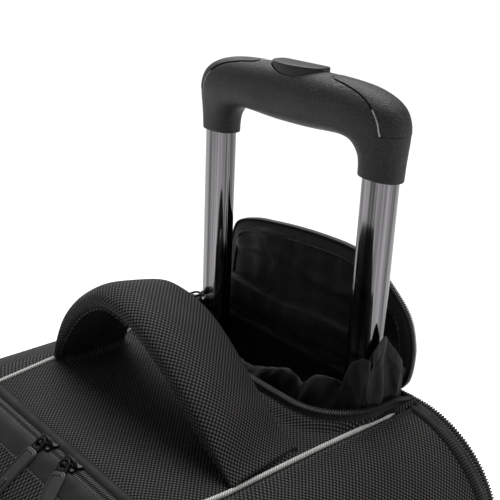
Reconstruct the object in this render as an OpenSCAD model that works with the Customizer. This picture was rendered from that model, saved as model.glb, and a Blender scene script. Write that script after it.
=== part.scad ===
// Soft wheeled bag with a telescoping handle that stows in a zipped pocket in the top.
// The origin is on the floor under the middle of the bag. +X is to the bag's left hand side as it
// faces the user's front view, +Y points to the back where the trolley runs, +Z is up.
// The handle is drawn part way out, in the first stage of its travel.

/* [Bag] */
// Width across the side panels
bag_w = 304; // [290:1:330]
// Height of the top panel above the floor
bag_top = 481; // [470:1:520]
// Height of the underside above the floor
bag_base = 26; // [26:1:30]
// Radius of the two upper corners, seen from the front
corner_r = 58; // [50:1:64]
// Radius of the two lower corners, seen from the front
lower_r = 22; // [16:1:26]
// Thickness of a padded fabric panel
panel_t = 4; // [3:0.5:5]
// How far the front lid stands forward of the main zip
lid_depth = 36; // [34:1:40]

/* [Trolley handle] */
// Distance between the two tubes
tube_spacing = 133; // [132:0.5:134]
// Width of the chrome upper tube
tube_w = 22.4; // [22:0.1:22.8]
// Depth of the chrome upper tube
tube_d = 13.4; // [13:0.1:13.8]
// Height of the grip's lower edge above the floor in the drawn position
grip_z = 614; // [600:1:640]

/* [Wheels] */
// Radius of the wheel
wheel_r = 32; // [30:0.5:32]
// Width of the tyre
wheel_w = 24; // [20:1:24]
// Radius of the axle
axle_r = 4; // [3.5:0.5:4]

/* [Hidden] */
$fn = 48;

// Depth stations, from the front lid to the padded back
zip_y = -84;
welt_y = -75;
rear_welt_y = 104;
rear_zip_y = 109;
back_y = 112;
back_front_t = 14;
half_w = bag_w / 2;
fit = 0.3;

// Telescoping handle
tube_y = 82;
tube_x = tube_spacing / 2;
tube_wall = 1.2;
slip = 0.2;
middle_w = tube_w + 2 * (slip + tube_wall);
middle_d = tube_d + 2 * (slip + tube_wall);
outer_w = middle_w + 2 * (slip + tube_wall);
outer_d = middle_d + 2 * (slip + tube_wall);
bezel_z = 402;
bezel_t = 6;
collar_t = 5;
tube_foot = 34;
upper_len = 370;
plug_len = 20;

// Grip outline, measured up from its lower edge
grip_h = 49;
grip_half = 81;
bar_under = 18;
leg_inner = 52.5;
parting = 24.5;
rod_r = 2;
spring_x = 32;
spring_z = 20.2;
spring_r = 3;
pin_r = 2.5;
pin_z = grip_z - upper_len + 10;

// Trolley pocket in the top
pocket_half = 86;
pocket_front = 40;
pocket_r = 34;
pocket_back = 104;
zip_rim = 3.5;
pocket_lip = 7;
flap_hinge_y = 108;
flap_hinge_z = bag_top + 3;
flap_h = 72;

// Carry handle
handle_y0 = -31;
handle_y1 = 18;
handle_half = 80;
handle_rise = 64;
handle_t = 14;
anchor_t = 6;
handle_gap = 6;

// Wheels
wheel_x = 124;
wheel_y = 98;
bearing_r = 11;
bearing_w = 7;
bearing_clear = 0.03;

// The sliders' places along the zips
slider_left_x = 0;
slider_right_x = 24;
pull_drop = 35;
front_zip_z = 392;
front_zip_half = 105;
rear_slider_z = 330;
rear_zip_inset = 4;

// Points along an arc, from angle a0 to a1
function arc(cx, cy, r, a0, a1, n = 9) =
    [for (i = [0:n]) [cx + r * cos(a0 + (a1 - a0) * i / n), cy + r * sin(a0 + (a1 - a0) * i / n)]];

// Extrudes a shape drawn in X and Z from y0 to y1
module along_y(y0, y1)
    translate([0, y1, 0]) rotate([90, 0, 0]) linear_extrude(y1 - y0) children();

// Extrudes a shape drawn in Y and Z from x0 to x1
module along_x(x0, x1)
    translate([x0, 0, 0]) rotate([90, 0, 90]) linear_extrude(x1 - x0) children();

// The bag's cross section, drawn inward by an inset
module section(inset) {
    w = half_w - inset;
    z0 = bag_base + inset;
    z1 = bag_top - inset;
    rt = corner_r - inset;
    rb = max(lower_r - inset, 4);
    polygon(concat(arc(w - rt, z1 - rt, rt, 0, 90), arc(rt - w, z1 - rt, rt, 90, 180),
        arc(rb - w, z0 + rb, rb, 180, 270), arc(w - rb, z0 + rb, rb, 270, 360)));
}

module ring(inset_out, inset_in, y0, y1)
    along_y(y0, y1) difference() {
        section(inset_out);
        section(inset_in);
    }

// Plan of the pocket: a D with its straight side at the back
module pocket_plan(grow = 0) {
    r = pocket_r + grow;
    polygon(concat([[pocket_half + grow, pocket_back], [-pocket_half - grow, pocket_back]],
        arc(pocket_r - pocket_half, pocket_front + pocket_r, r, 180, 270),
        arc(pocket_half - pocket_r, pocket_front + pocket_r, r, 270, 360)));
}

// The seam line of the piping: half width at each depth
piping_line = [[81, welt_y], [86, -35], [88, 25], [92, 78], [92, rear_welt_y]];
piping_run = [for (i = [0:3]) piping_line[i]];
piping_w = 2.8;
piping_h = 2;

module between_pipings(z0, z1)
    translate([0, 0, z0]) linear_extrude(z1 - z0) polygon(concat(piping_line,
        [for (i = [len(piping_line) - 1:-1:0]) [-piping_line[i][0], piping_line[i][1]]]));

// Space round each wheel that the soft panels leave free
module wheel_bays()
    for (s = [-1, 1]) translate([s > 0 ? 102 : -170, 56, 0]) cube([68, 90, 88]);

module top_panel() color("#26262a") difference() {
    between_pipings(bag_top - panel_t, bag_top);
    translate([0, 0, bag_top - panel_t - 1]) linear_extrude(panel_t + 2) pocket_plan();
}

module side_panel(s) color("#242428") difference() {
    ring(0, panel_t, welt_y, rear_welt_y);
    translate([s > 0 ? -200 : 0, -200, 0]) cube([200, 400, 600]);
    between_pipings(bag_top - 2 * panel_t, bag_top + 1);
    translate([-half_w, -200, 0]) cube([bag_w, 400, bag_base + lower_r]);
    wheel_bays();
}

module side_panel_left() side_panel(-1);
module side_panel_right() side_panel(1);

module base_panel() color("#1c1c1f") difference() {
    ring(0, panel_t, welt_y, rear_welt_y);
    translate([-half_w, -200, bag_base + lower_r]) cube([bag_w, 400, 600]);
    wheel_bays();
}

module back_panel() color("#202024") difference() {
    along_y(back_y, back_y + back_front_t) section(3);
    wheel_bays();
}

// Stiff board between the main compartment and the trolley channel
module frame_board() color("#3a3a3c") difference() {
    translate([-140, 59, bag_base + panel_t + 1]) cube([280, 2.5, 368]);
    wheel_bays();
}

module pocket_lining() color("#151517") difference() {
    translate([0, 0, bezel_z - 2]) linear_extrude(bag_top - panel_t - bezel_z + 2)
        pocket_plan(1.2);
    translate([0, 0, bezel_z]) linear_extrude(bag_top) pocket_plan();
    for (s = [-1, 1]) translate([s * tube_x, tube_y, bezel_z - 3]) linear_extrude(4)
        stadium(outer_w + 1, outer_d + 1);
}

module front_welt() color("#1b1b1f") difference() {
    ring(-1, panel_t, welt_y - 5, welt_y);
    translate([-half_w - 2, -200, 0]) cube([bag_w + 4, 400, bag_base + lower_r]);
}

module rear_welt() color("#1b1b1f") difference() {
    ring(0.5, panel_t, rear_welt_y, rear_welt_y + 2);
    wheel_bays();
}

// Corded piping: a narrow strip that stands on the seam line
module piping(s) color("#c9cbd0") translate([0, 0, bag_top]) linear_extrude(piping_h)
    polygon(concat([for (p = piping_run) [s * (p[0] - piping_w / 2), p[1]]],
        [for (i = [len(piping_run) - 1:-1:0])
            [s * (piping_run[i][0] + piping_w / 2), piping_run[i][1]]]));

module piping_left() piping(-1);
module piping_right() piping(1);

// Sewn ends of the carry handle, on the top panel
module handle_anchors() color("#222226") for (s = [-1, 1])
    translate([s > 0 ? handle_half - 14 : -handle_half, handle_y0, bag_top])
        cube([14, handle_y1 - handle_y0, anchor_t]);

module main_zip_bag_half() color("#2b2b2d") difference() {
    ring(1, 6, zip_y + fit / 2, welt_y - 5);
    translate([-half_w, -200, 0]) cube([bag_w, 400, 60]);
}

// The zipped rim of the pocket stands up as a low lip
module pocket_zip_bag_half() color("#2b2b2d") translate([0, 0, bag_top])
    linear_extrude(pocket_lip) difference() {
        pocket_plan(zip_rim);
        pocket_plan();
        translate([-100, pocket_back - 6]) square([200, 20]);
    }

module rear_zip() color("#2b2b2d") difference() {
    ring(rear_zip_inset, rear_zip_inset + 5, rear_zip_y - 3, back_y);
    wheel_bays();
}

// The rear slider runs in the groove between the rear welt and the padded back
module rear_zip_slider() color("#3a3a3e")
    translate([half_w - rear_zip_inset + fit, rear_zip_y - 2.6, rear_slider_z]) {
        cube([2.4, 5.2, 14]);
        translate([2.4, 1.6, 0]) cube([1, 2, 8]);
    }

module rear_zip_pull() color("#2a2a2c") translate([half_w - 0.2, rear_zip_y - 4.5, rear_slider_z - 38])
    cube([1.2, 9, 37]);

// A rounded oblong, long along X
module stadium(w, d) {
    square([w - d, d], center = true);
    for (s = [-1, 1]) translate([s * (w - d) / 2, 0]) circle(d / 2);
}

// A pair of thin tubes at the handle's spacing
module tube_pair(w, d, z0, z1) for (s = [-1, 1]) translate([s * tube_x, tube_y, z0])
    linear_extrude(z1 - z0) difference() {
        stadium(w, d);
        stadium(w - 2 * tube_wall, d - 2 * tube_wall);
    }

module outer_tubes() color("#7c7e82") tube_pair(outer_w, outer_d, tube_foot, bezel_z);

module tube_bezel() color("#18181a") difference() {
    translate([0, tube_y, bezel_z + bezel_t / 2]) cube([166, 38, bezel_t], center = true);
    for (s = [-1, 1]) translate([s * tube_x, tube_y, bezel_z - 1]) linear_extrude(bezel_t + 2)
        stadium(middle_w + 2 * fit, middle_d + 2 * fit);
}

module bottom_bracket() color("#18181a") difference() {
    translate([-88, tube_y - 16, bag_base + panel_t]) cube([176, 32, 22]);
    for (s = [-1, 1]) translate([s * tube_x, tube_y, tube_foot]) linear_extrude(30)
        stadium(outer_w, outer_d);
}

// Side outline of a wheel housing, drawn in Y and Z
module housing_outline() polygon(concat([[58, bag_base - 4]], arc(74, 68, 16, 180, 90, 6),
    arc(104, 62, 22, 90, 0, 8), [[126, wheel_r + 12], [122, wheel_r + 4], [122, bag_base - 4]]));

module wheel_housing(s) color("#19191b") difference() {
    along_x(s * wheel_x - 18, s * wheel_x + 18) housing_outline();
    translate([s * wheel_x, wheel_y, wheel_r]) rotate([0, 90, 0])
        cylinder(r = wheel_r + 3, h = wheel_w + 4, center = true, $fn = 72);
    translate([s * wheel_x - wheel_w / 2 - 2, wheel_y, 0]) cube([wheel_w + 4, 60, wheel_r + 22]);
    translate([s * wheel_x - 19, wheel_y, wheel_r]) rotate([0, 90, 0])
        cylinder(r = axle_r, h = 38);
}

module wheel_housing_left() wheel_housing(-1);
module wheel_housing_right() wheel_housing(1);

module axle(s) color("#a9abb0") translate([s * wheel_x, wheel_y, wheel_r]) rotate([0, 90, 0]) {
    cylinder(r = axle_r, h = 40, center = true);
    for (e = [-1, 1]) translate([0, 0, e * 20.5 + (e < 0 ? -1.5 : -0.5)]) cylinder(r = 6, h = 2);
}

module axle_left() axle(-1);
module axle_right() axle(1);

// Skid feet with rounded toes, and a sunk hole each for the fixing screw
module front_feet() color("#17171a") for (s = [-1, 1]) difference() {
    along_x(s * 108 - 24, s * 108 + 24) polygon(concat([[-70, bag_base]],
        arc(-62, 8, 8, 180, 270, 6), arc(-46, 8, 8, 270, 360, 6), [[-38, bag_base]]));
    translate([s * 108, -54, -1]) cylinder(r = 4, h = 9);
}

module housing_screws() color("#8d8f94") for (s = [-1, 1]) {
    translate([s * 108, -54, 6]) cylinder(r = 3.5, h = 2);
    for (z = [62, 72]) translate([s * 142, 78, z]) rotate([0, s * 90, 0]) cylinder(r = 3, h = 1.5);
}

module tyre(s) color("#232325") translate([s * wheel_x, wheel_y, wheel_r]) rotate([0, 90, 0])
    rotate_extrude($fn = 96) polygon([[24, -wheel_w / 2], [wheel_r - 3, -wheel_w / 2],
        [wheel_r, 4 - wheel_w / 2], [wheel_r, wheel_w / 2 - 4], [wheel_r - 3, wheel_w / 2],
        [24, wheel_w / 2]]);

module tyre_left() tyre(-1);
module tyre_right() tyre(1);

module hub(s) color("#4a4b4f") translate([s * wheel_x, wheel_y, wheel_r]) rotate([0, 90, 0])
    difference() {
        cylinder(r = 24, h = wheel_w - 2, center = true, $fn = 72);
        for (e = [-1, 1]) translate([0, 0, e * (wheel_w / 2 - 1 - bearing_w / 2)])
            cylinder(r = bearing_r, h = bearing_w + 0.02, center = true);
        cylinder(r = bearing_r - 2, h = wheel_w, center = true);
        for (e = [-1, 1], a = [0:72:359]) rotate(a) translate([17.5, 0, e * wheel_w / 2])
            cylinder(r = 3.6, h = 8, center = true);
    }

module hub_left() hub(-1);
module hub_right() hub(1);

module bearings(s) color("#b4b6ba") translate([s * wheel_x, wheel_y, wheel_r]) rotate([0, 90, 0])
    for (e = [-1, 1]) translate([0, 0, e * (wheel_w / 2 - 1 - bearing_w / 2)]) difference() {
        cylinder(r = bearing_r, h = bearing_w, center = true);
        cylinder(r = axle_r + bearing_clear, h = bearing_w + 1, center = true);
    }

module bearings_left() bearings(-1);
module bearings_right() bearings(1);

module middle_tubes() color("#9b9da2")
    tube_pair(middle_w, middle_d, tube_foot + 2, bezel_z + bezel_t + collar_t);

module middle_collars() color("#18181a") for (s = [-1, 1])
    translate([s * tube_x, tube_y, bezel_z + bezel_t]) linear_extrude(collar_t) difference() {
        stadium(middle_w + 6, middle_d + 6);
        stadium(middle_w, middle_d);
    }

module upper_tubes() color("#c6c8cc") difference() {
    tube_pair(tube_w, tube_d, grip_z - upper_len, grip_z + plug_len);
    for (s = [-1, 1]) translate([s * tube_x, tube_y, pin_z]) rotate([-90, 0, 0])
        cylinder(r = pin_r + 0.2, h = 20);
}

// Plugs in the feet of the upper tubes, which carry the lock pins
module tube_guides() color("#e4e4e0") for (s = [-1, 1]) difference() {
    translate([s * tube_x, tube_y, grip_z - upper_len + 1]) linear_extrude(28)
        stadium(tube_w - 2 * tube_wall, tube_d - 2 * tube_wall);
    translate([s * tube_x, tube_y - 4.2, pin_z]) rotate([-90, 0, 0])
        cylinder(r = pin_r + 0.1, h = 20);
    translate([s * tube_x, tube_y, pin_z]) cylinder(r = rod_r + 0.3, h = 40);
}

// Front outline of the whole grip, from its lower edge
module grip_outline() polygon(concat(
    [[79.9, 0], [80.4, 14], [grip_half, parting]],
    arc(grip_half - 25, grip_h - 26, 24, 10, 62, 6), [[50.6, 47.2], [30, 48.8], [0, grip_h]],
    [[-30, 48.8], [-50.6, 47.2]], arc(25 - grip_half, grip_h - 26, 24, 118, 170, 6),
    [[-grip_half, parting], [-80.4, 14], [-79.9, 0], [-leg_inner, 0]],
    arc(5 - leg_inner, bar_under - 5, 5, 180, 90, 4),
    arc(leg_inner - 5, bar_under - 5, 5, 90, 0, 4), [[leg_inner, 0]]));

// Side outline of the grip: a narrow collar below, a full hand grip above
module grip_side() polygon(concat([[9, 0], [10.5, 12], [13.2, 22]],
    arc(3.2, grip_h - 14, 10, 0, 60, 5), arc(0, grip_h - 13, 13, 75, 105, 4),
    arc(-3.2, grip_h - 14, 10, 120, 180, 5), [[-13.2, 22], [-10.5, 12], [-9, 0]]));

module grip_solid() intersection() {
    along_y(tube_y - 15, tube_y + 15) translate([0, grip_z]) grip_outline();
    along_x(-90, 90) translate([tube_y, grip_z]) grip_side();
}

// The part of each end outside the cap seam
module cap_region(clear) for (s = [-1, 1]) mirror([s > 0 ? 0 : 1, 0, 0])
    along_y(tube_y - 20, tube_y + 20) translate([0, grip_z]) polygon([[30 + clear, 60],
        [30 + clear, 49 + clear], [60, 43 + clear], [68, 38 + clear], [72 + clear, 32],
        [74 + clear, parting + clear / 2], [95, parting + clear / 2], [95, 60]]);

// The push button: straight at the back, round at the front
module button_plan(grow) intersection() {
    translate([0, tube_y + 9]) circle(21 + grow);
    translate([-22, tube_y - 11 - grow]) square([44, 20 + 2 * grow]);
}

module grip_body() color("#17171a") difference() {
    grip_solid();
    cap_region(0);
    translate([0, 0, grip_z + grip_h - 5.5]) linear_extrude(20) button_plan(0.4);
    translate([0, tube_y, grip_z + 31.5]) cube([2 * tube_x + 10, 10, 17], center = true);
    translate([0, tube_y, grip_z + 42]) cube([28, 10, 10], center = true);
    for (s = [-1, 1]) translate([s * tube_x, tube_y, grip_z - 1])
        linear_extrude(plug_len + 1) stadium(tube_w, tube_d);
    for (s = [-1, 1]) translate([s * tube_x, tube_y, grip_z]) cylinder(r = rod_r + 1, h = 40);
    for (s = [-1, 1]) translate([s * spring_x, tube_y, grip_z + spring_z - fit])
        cylinder(r = spring_r + fit, h = 5);
    grip_inserts();
    grip_screws();
}

module grip_caps() color("#17171a") difference() {
    intersection() {
        grip_solid();
        cap_region(0.4);
    }
    grip_inserts();
    translate([0, tube_y, grip_z + 31.5]) cube([2 * tube_x + 10, 10, 17], center = true);
}

module grip_inserts() color("#9a9ca0") for (s = [-1, 1])
    translate([s * 72.4 - 0.6, tube_y - 13.6, grip_z + parting + 1]) cube([1.2, 1, 10]);

module grip_screws() color("#55565a") for (s = [-1, 1])
    translate([s * (leg_inner + 2.4), tube_y, grip_z + 9]) rotate([0, -s * 90, 0])
        cylinder(r = 2.6, h = 1.9);

module grip_button() color("#1d1d20") {
    translate([0, 0, grip_z + grip_h - 2]) linear_extrude(4.4) button_plan(0);
    translate([0, tube_y, grip_z + 40]) cube([24, 8, 16], center = true);
}

module button_spring() color("#b9bbc0") for (s = [-1, 1])
    translate([s * spring_x, tube_y, grip_z + spring_z]) difference() {
        cylinder(r = spring_r, h = 3);
        translate([0, 0, -1]) cylinder(r = spring_r - 0.8, h = 5);
    }

// Cross bar under the button, with a rod down each tube to its lock pin
module release_bar() color("#8f9196") {
    translate([0, tube_y, grip_z + 29]) cube([2 * tube_x + 6, 8, 5], center = true);
    for (s = [-1, 1]) translate([s * tube_x, tube_y, pin_z + pin_r + 4])
        cylinder(r = rod_r, h = grip_z + 28 - pin_z - pin_r - 4);
}

module lock_pins() color("#a9abb0") for (s = [-1, 1])
    translate([s * tube_x, tube_y - 1.5, pin_z]) rotate([-90, 0, 0])
        cylinder(r = pin_r, h = tube_d / 2 + 1.6);

module flap_outline(grow) polygon(concat([[pocket_half - 4 + grow, 0]],
    arc(pocket_half - pocket_r - 4, flap_h - pocket_r, pocket_r + grow, 0, 90),
    arc(pocket_r + 4 - pocket_half, flap_h - pocket_r, pocket_r + grow, 90, 180),
    [[4 - pocket_half - grow, 0]]));

module pocket_flap() color("#202023") along_y(flap_hinge_y - 2, flap_hinge_y + 2)
    translate([0, flap_hinge_z + 1]) flap_outline(0);

module pocket_zip_flap_half() color("#2b2b2d") along_y(flap_hinge_y - 2, flap_hinge_y + 1)
    translate([0, flap_hinge_z + 1]) difference() {
        flap_outline(zip_rim);
        flap_outline(0);
    }

module pocket_zip_slider() color("#3a3a3e")
    translate([-pocket_half - 6, pocket_back - 19, bag_top + pocket_lip + fit]) cube([7.4, 12, 3.8]);

module pocket_zip_pull() color("#2a2a2c")
    translate([-pocket_half - 6, pocket_back - 53, bag_top + pocket_lip + 1.3]) cube([6, 32, 1.8]);

// Half of a rounded arch, drawn in X and Z above the top panel
module arch(half, rise) polygon(concat([[half, 0], [half - 2, rise * 0.2]],
    arc(half - rise * 0.78 - 2, rise * 0.22, rise * 0.78, 0, 90, 8),
    arc(2 + rise * 0.78 - half, rise * 0.22, rise * 0.78, 90, 180, 8),
    [[2 - half, rise * 0.2], [-half, 0]]));

module carry_handle() color("#242427") along_y(handle_y0, handle_y1)
    translate([0, bag_top + anchor_t + handle_gap]) difference() {
        arch(handle_half, handle_rise - anchor_t - handle_gap);
        translate([0, -1]) arch(handle_half - handle_t, handle_rise - handle_t - anchor_t - handle_gap + 1);
    }

// The lid's outer skin steps in towards its front edge: inset and front station of each step
lid_steps = [[4, -94], [9, -102], [15, -110], [21, -118]];

module lid_gusset() color("#1b1b1f") for (i = [0:3])
    ring(lid_steps[i][0], (i < 3 ? lid_steps[i + 1][0] : lid_steps[i][0]) + panel_t,
        lid_steps[i][1], i == 0 ? zip_y - 4 : lid_steps[i - 1][1]);

module lid_panel() color("#2c2c30") along_y(zip_y - 4, zip_y - 2.5) section(8);

module lid_front() color("#242428") along_y(zip_y - 2 - lid_depth, zip_y + 2 - lid_depth) section(24);

module main_zip_lid_half() color("#2b2b2d") difference() {
    ring(1, 6, zip_y - 4, zip_y - fit / 2);
    translate([-half_w, -200, 0]) cube([bag_w, 400, 60]);
}

module front_pocket_zip() color("#2b2b2d")
    translate([-front_zip_half, -124, front_zip_z - 4]) cube([2 * front_zip_half, 2, 8]);

module front_pocket_slider() color("#3a3a3e")
    translate([-front_zip_half + 4, -128, front_zip_z - 4]) cube([12, 3.6, 8]);

module front_pocket_pull() color("#2a2a2c")
    translate([-front_zip_half + 5.5, -130, front_zip_z - 40]) cube([9, 1.8, 38]);

// A slider over the closed zip chain, with its bridge on top
module main_slider(x) color("#3a3a3e") translate([x, zip_y, bag_top - 1 + fit]) {
    translate([-6, -3.6, 0]) cube([12, 7.2, 2.4]);
    translate([-4, -1.5, 2.4]) cube([8, 3, 2.6]);
}

module main_slider_left() main_slider(slider_left_x);
module main_slider_right() main_slider(slider_right_x);

// A flat pull with a ring end, hanging forward from the slider's bridge
module main_pull(x, skew) color("#232325") translate([x, zip_y - 3.5, bag_top + 4])
    rotate([pull_drop, 0, 0]) rotate([0, 0, skew]) translate([-4.8, -40, -0.9])
        cube([9.6, 37, 1.8]);

module main_pull_left() main_pull(slider_left_x, 0);
module main_pull_right() main_pull(slider_right_x, 24);

top_panel();
side_panel_left();
side_panel_right();
base_panel();
back_panel();
frame_board();
pocket_lining();
front_welt();
rear_welt();
piping_left();
piping_right();
handle_anchors();
main_zip_bag_half();
pocket_zip_bag_half();
rear_zip();
rear_zip_slider();
rear_zip_pull();
outer_tubes();
tube_bezel();
bottom_bracket();
wheel_housing_left();
wheel_housing_right();
axle_left();
axle_right();
front_feet();
housing_screws();
tyre_left();
tyre_right();
hub_left();
hub_right();
bearings_left();
bearings_right();
middle_tubes();
middle_collars();
upper_tubes();
tube_guides();
grip_body();
grip_caps();
grip_inserts();
grip_screws();
grip_button();
button_spring();
release_bar();
lock_pins();
pocket_flap();
pocket_zip_flap_half();
pocket_zip_slider();
pocket_zip_pull();
carry_handle();
lid_gusset();
lid_panel();
lid_front();
main_zip_lid_half();
front_pocket_zip();
front_pocket_slider();
front_pocket_pull();
main_slider_left();
main_slider_right();
main_pull_left();
main_pull_right();
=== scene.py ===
# Looks of the soft wheeled trolley bag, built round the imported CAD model, which is the fixed frame.
# Lengths in this script are millimetres in the frame's axes; meshes are made in metres.
import math

import bmesh
import bpy
import numpy as np
from mathutils import Matrix, Vector


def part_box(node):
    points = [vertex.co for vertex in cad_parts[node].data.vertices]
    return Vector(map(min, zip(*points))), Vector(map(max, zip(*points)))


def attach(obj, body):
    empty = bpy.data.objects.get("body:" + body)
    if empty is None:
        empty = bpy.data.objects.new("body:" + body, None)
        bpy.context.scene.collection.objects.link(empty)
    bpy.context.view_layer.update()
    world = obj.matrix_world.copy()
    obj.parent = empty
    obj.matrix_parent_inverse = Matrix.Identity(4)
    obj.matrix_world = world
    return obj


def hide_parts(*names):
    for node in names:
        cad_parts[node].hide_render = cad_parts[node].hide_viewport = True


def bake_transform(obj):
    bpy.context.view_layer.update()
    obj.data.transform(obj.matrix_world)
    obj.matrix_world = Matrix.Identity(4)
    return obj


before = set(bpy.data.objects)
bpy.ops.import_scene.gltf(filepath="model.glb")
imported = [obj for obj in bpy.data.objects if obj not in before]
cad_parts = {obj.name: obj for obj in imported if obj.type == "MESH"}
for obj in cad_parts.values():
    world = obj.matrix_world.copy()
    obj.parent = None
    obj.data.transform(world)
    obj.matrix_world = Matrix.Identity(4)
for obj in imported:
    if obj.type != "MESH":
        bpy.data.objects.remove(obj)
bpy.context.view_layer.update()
MM = 0.001
Y, Z = np.eye(3)[1:]


# ---------------------------------------------------------------- sizes read from the frame
def low(node):
    return np.array(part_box(node)[0]) / MM


def high(node):
    return np.array(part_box(node)[1]) / MM


def middle(node):
    return (low(node) + high(node)) / 2


TOP_Z = high("top_panel")[2]
BASE_Z = low("base_panel")[2]
HALF_W = high("side_panel_right")[0]
WELT_Y = low("side_panel_right")[1]
REAR_Y = high("side_panel_right")[1]
ZIP_Y = high("main_zip_lid_half")[1]
BACK_Y = low("back_panel")[1]
BACK_END_Y = high("back_panel")[1]
TUBE_Y = middle("upper_tubes")[1]
GRIP_Z = low("grip_body")[2]
LIP_Z = high("pocket_zip_bag_half")[2]
POCKET_HALF = high("pocket_zip_bag_half")[0] - 3.5
POCKET_FRONT = low("pocket_zip_bag_half")[1] + 3.5
BEZEL_Z = high("tube_bezel")[2]
FLAP_Y = middle("pocket_flap")[1]
FLAP_Z = low("pocket_flap")[2]
FLAP_HALF = high("pocket_flap")[0]
HANDLE_Y0 = low("carry_handle")[1]
HANDLE_Y1 = high("carry_handle")[1]
BAY_X, BAY_Y, BAY_Z = 102.0, 56.0, 88.0
CORNER_R, REAR_CORNER_R, LOWER_R, POCKET_R = 58.0, 67.0, 22.0, 34.0
ZIP_END_Z = 52.0  # the main zip stops here, above the lid's hinge
LINING_FOOT_Z = 456.0  # where the loose lining starts inside the pocket
# Half width of the seam that carries the piping, at each depth
PIPING_Y = [-75, -35, 25, 85, 104]
PIPING_X = [81, 86, 88, 91, 92]


# ---------------------------------------------------------------- curves and smooth shapes
def catmull(points, per=12, closed=False):
    """A smooth curve through the points."""
    p = np.asarray(points, float)
    if closed:
        q = np.vstack([p[-1:], p, p[:2]])
    else:
        q = np.vstack([2 * p[0] - p[1], p, 2 * p[-1] - p[-2]])
    t = np.linspace(0, 1, per, endpoint=False)[:, None]
    runs = []
    for a, b, c, d in zip(q[:-3], q[1:-2], q[2:-1], q[3:]):
        runs.append(0.5 * (2 * b + (c - a) * t + (2 * a - 5 * b + 4 * c - d) * t**2
                           + (3 * b - a - 3 * c + d) * t**3))
    if not closed:
        runs.append(p[-1:])
    return np.vstack(runs)


def resample(points, n, closed=False):
    """n points at even steps along a run of points."""
    p = np.vstack([points, points[:1]]) if closed else np.asarray(points, float)
    run = np.r_[0, np.cumsum(np.linalg.norm(np.diff(p, axis=0), axis=1))]
    at = np.linspace(0, run[-1], n, endpoint=not closed)
    return np.stack([np.interp(at, run, p[:, k]) for k in range(p.shape[1])], 1)


def length_of(points, closed=False):
    p = np.vstack([points, points[:1]]) if closed else points
    return np.linalg.norm(np.diff(p, axis=0), axis=1).sum()


def unit(v):
    return v / np.maximum(np.linalg.norm(v, axis=-1, keepdims=True), 1e-9)


def tangents(points, closed=False):
    if closed:
        return unit(np.roll(points, -1, 0) - np.roll(points, 1, 0))
    return unit(np.gradient(points, axis=0))


def arc(cx, cz, r, a0, a1, n=12):
    a = np.radians(np.linspace(a0, a1, n))
    return np.c_[cx + r * np.cos(a), cz + r * np.sin(a)]


def rounded(half, z0, z1, r, n=12, lower=None):
    """A rounded box's outline about X = 0, from its right side over the top and round."""
    b = lower or r
    return np.vstack([arc(half - r, z1 - r, r, 0, 90, n), arc(r - half, z1 - r, r, 90, 180, n),
                      arc(b - half, z0 + b, b, 180, 270, n), arc(half - b, z0 + b, b, 270, 360, n)])


def at_y(curve, y):
    """A curve in X and Z set at a depth, which is one value or one for each point."""
    return np.c_[curve[:, 0], np.broadcast_to(y, len(curve)), curve[:, 1]]


def spread(a, b, n):
    """Rows that run from outline a to outline b or to the point b, with their shares."""
    t = np.linspace(0, 1, n)[None, :, None]
    return t, a[:, None] * (1 - t) + np.broadcast_to(b, a.shape)[:, None] * t


def inner_rings(rim, steps, dome=0.0):
    """Rings that shrink from a rim toward its middle height and rise by dome toward the front."""
    rows = []
    for t in np.linspace(0, 1, steps)[1:-1]:
        ring = rim * [1 - t, 1, 1 - t] + [0, 0, rim[:, 2].mean() * t]
        ring[:, 1] -= dome * math.sin(min(t * 1.5, 1) * math.pi / 2)
        rows.append(ring)
    return rows


def smooth(t):
    t = np.clip(t, 0, 1)
    return t * t * (3 - 2 * t)


def ripple(p, size, seed):
    """Smooth seeded waves between about -1 and 1, for sag and folds."""
    rng = np.random.default_rng(seed)
    total = np.zeros(p.shape[:-1])
    for _ in range(5):
        d = unit(rng.normal(size=3))
        total += np.sin(p @ d * 2 * math.pi / (size * rng.uniform(0.6, 1.6)) + rng.uniform(0, 6.28))
    return total / 3


def outline(inset, n=240, corner=CORNER_R):
    """The bag's rounded section in X and Z, drawn inward by inset, as a closed run of points."""
    path = rounded(HALF_W - inset, BASE_Z + inset, TOP_Z - inset, max(corner - inset, 6),
                   lower=max(LOWER_R - inset, 4))
    return resample(path, n, closed=True)


def ring_path(inset, y, n=600, corner=CORNER_R):
    return at_y(outline(inset, n, corner), y)


def pocket_path(grow, n=150):
    """The pocket's D from its back left corner round the front to its back right corner."""
    r = POCKET_R + grow
    cx = POCKET_HALF - POCKET_R
    cy = POCKET_FRONT + POCKET_R
    path = np.vstack([[[-POCKET_HALF - grow, REAR_Y]], arc(-cx, cy, r, 180, 270),
                      arc(cx, cy, r, 270, 360), [[POCKET_HALF + grow, REAR_Y]]])
    return resample(path, n)


def piping_x(y):
    return np.interp(y, PIPING_Y, PIPING_X)


def top_height(x, y):
    """Height of the slightly crowned top, which falls toward the front."""
    ahead = (REAR_Y - y) / (REAR_Y - WELT_Y)
    fall = 3.2 * ahead + 3.0 * ahead**2 * (x / 85) ** 2
    return TOP_Z + 1.0 - fall + 1.2 * np.cos(np.clip(x / 95, -1, 1) * math.pi / 2)


# ---------------------------------------------------------------- mesh makers
def link(name, data):
    obj = bpy.data.objects.new(name, data)
    bpy.context.scene.collection.objects.link(obj)
    return obj


def add_object(name, data, material):
    data.materials.append(material)
    return link(name, data)


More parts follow.
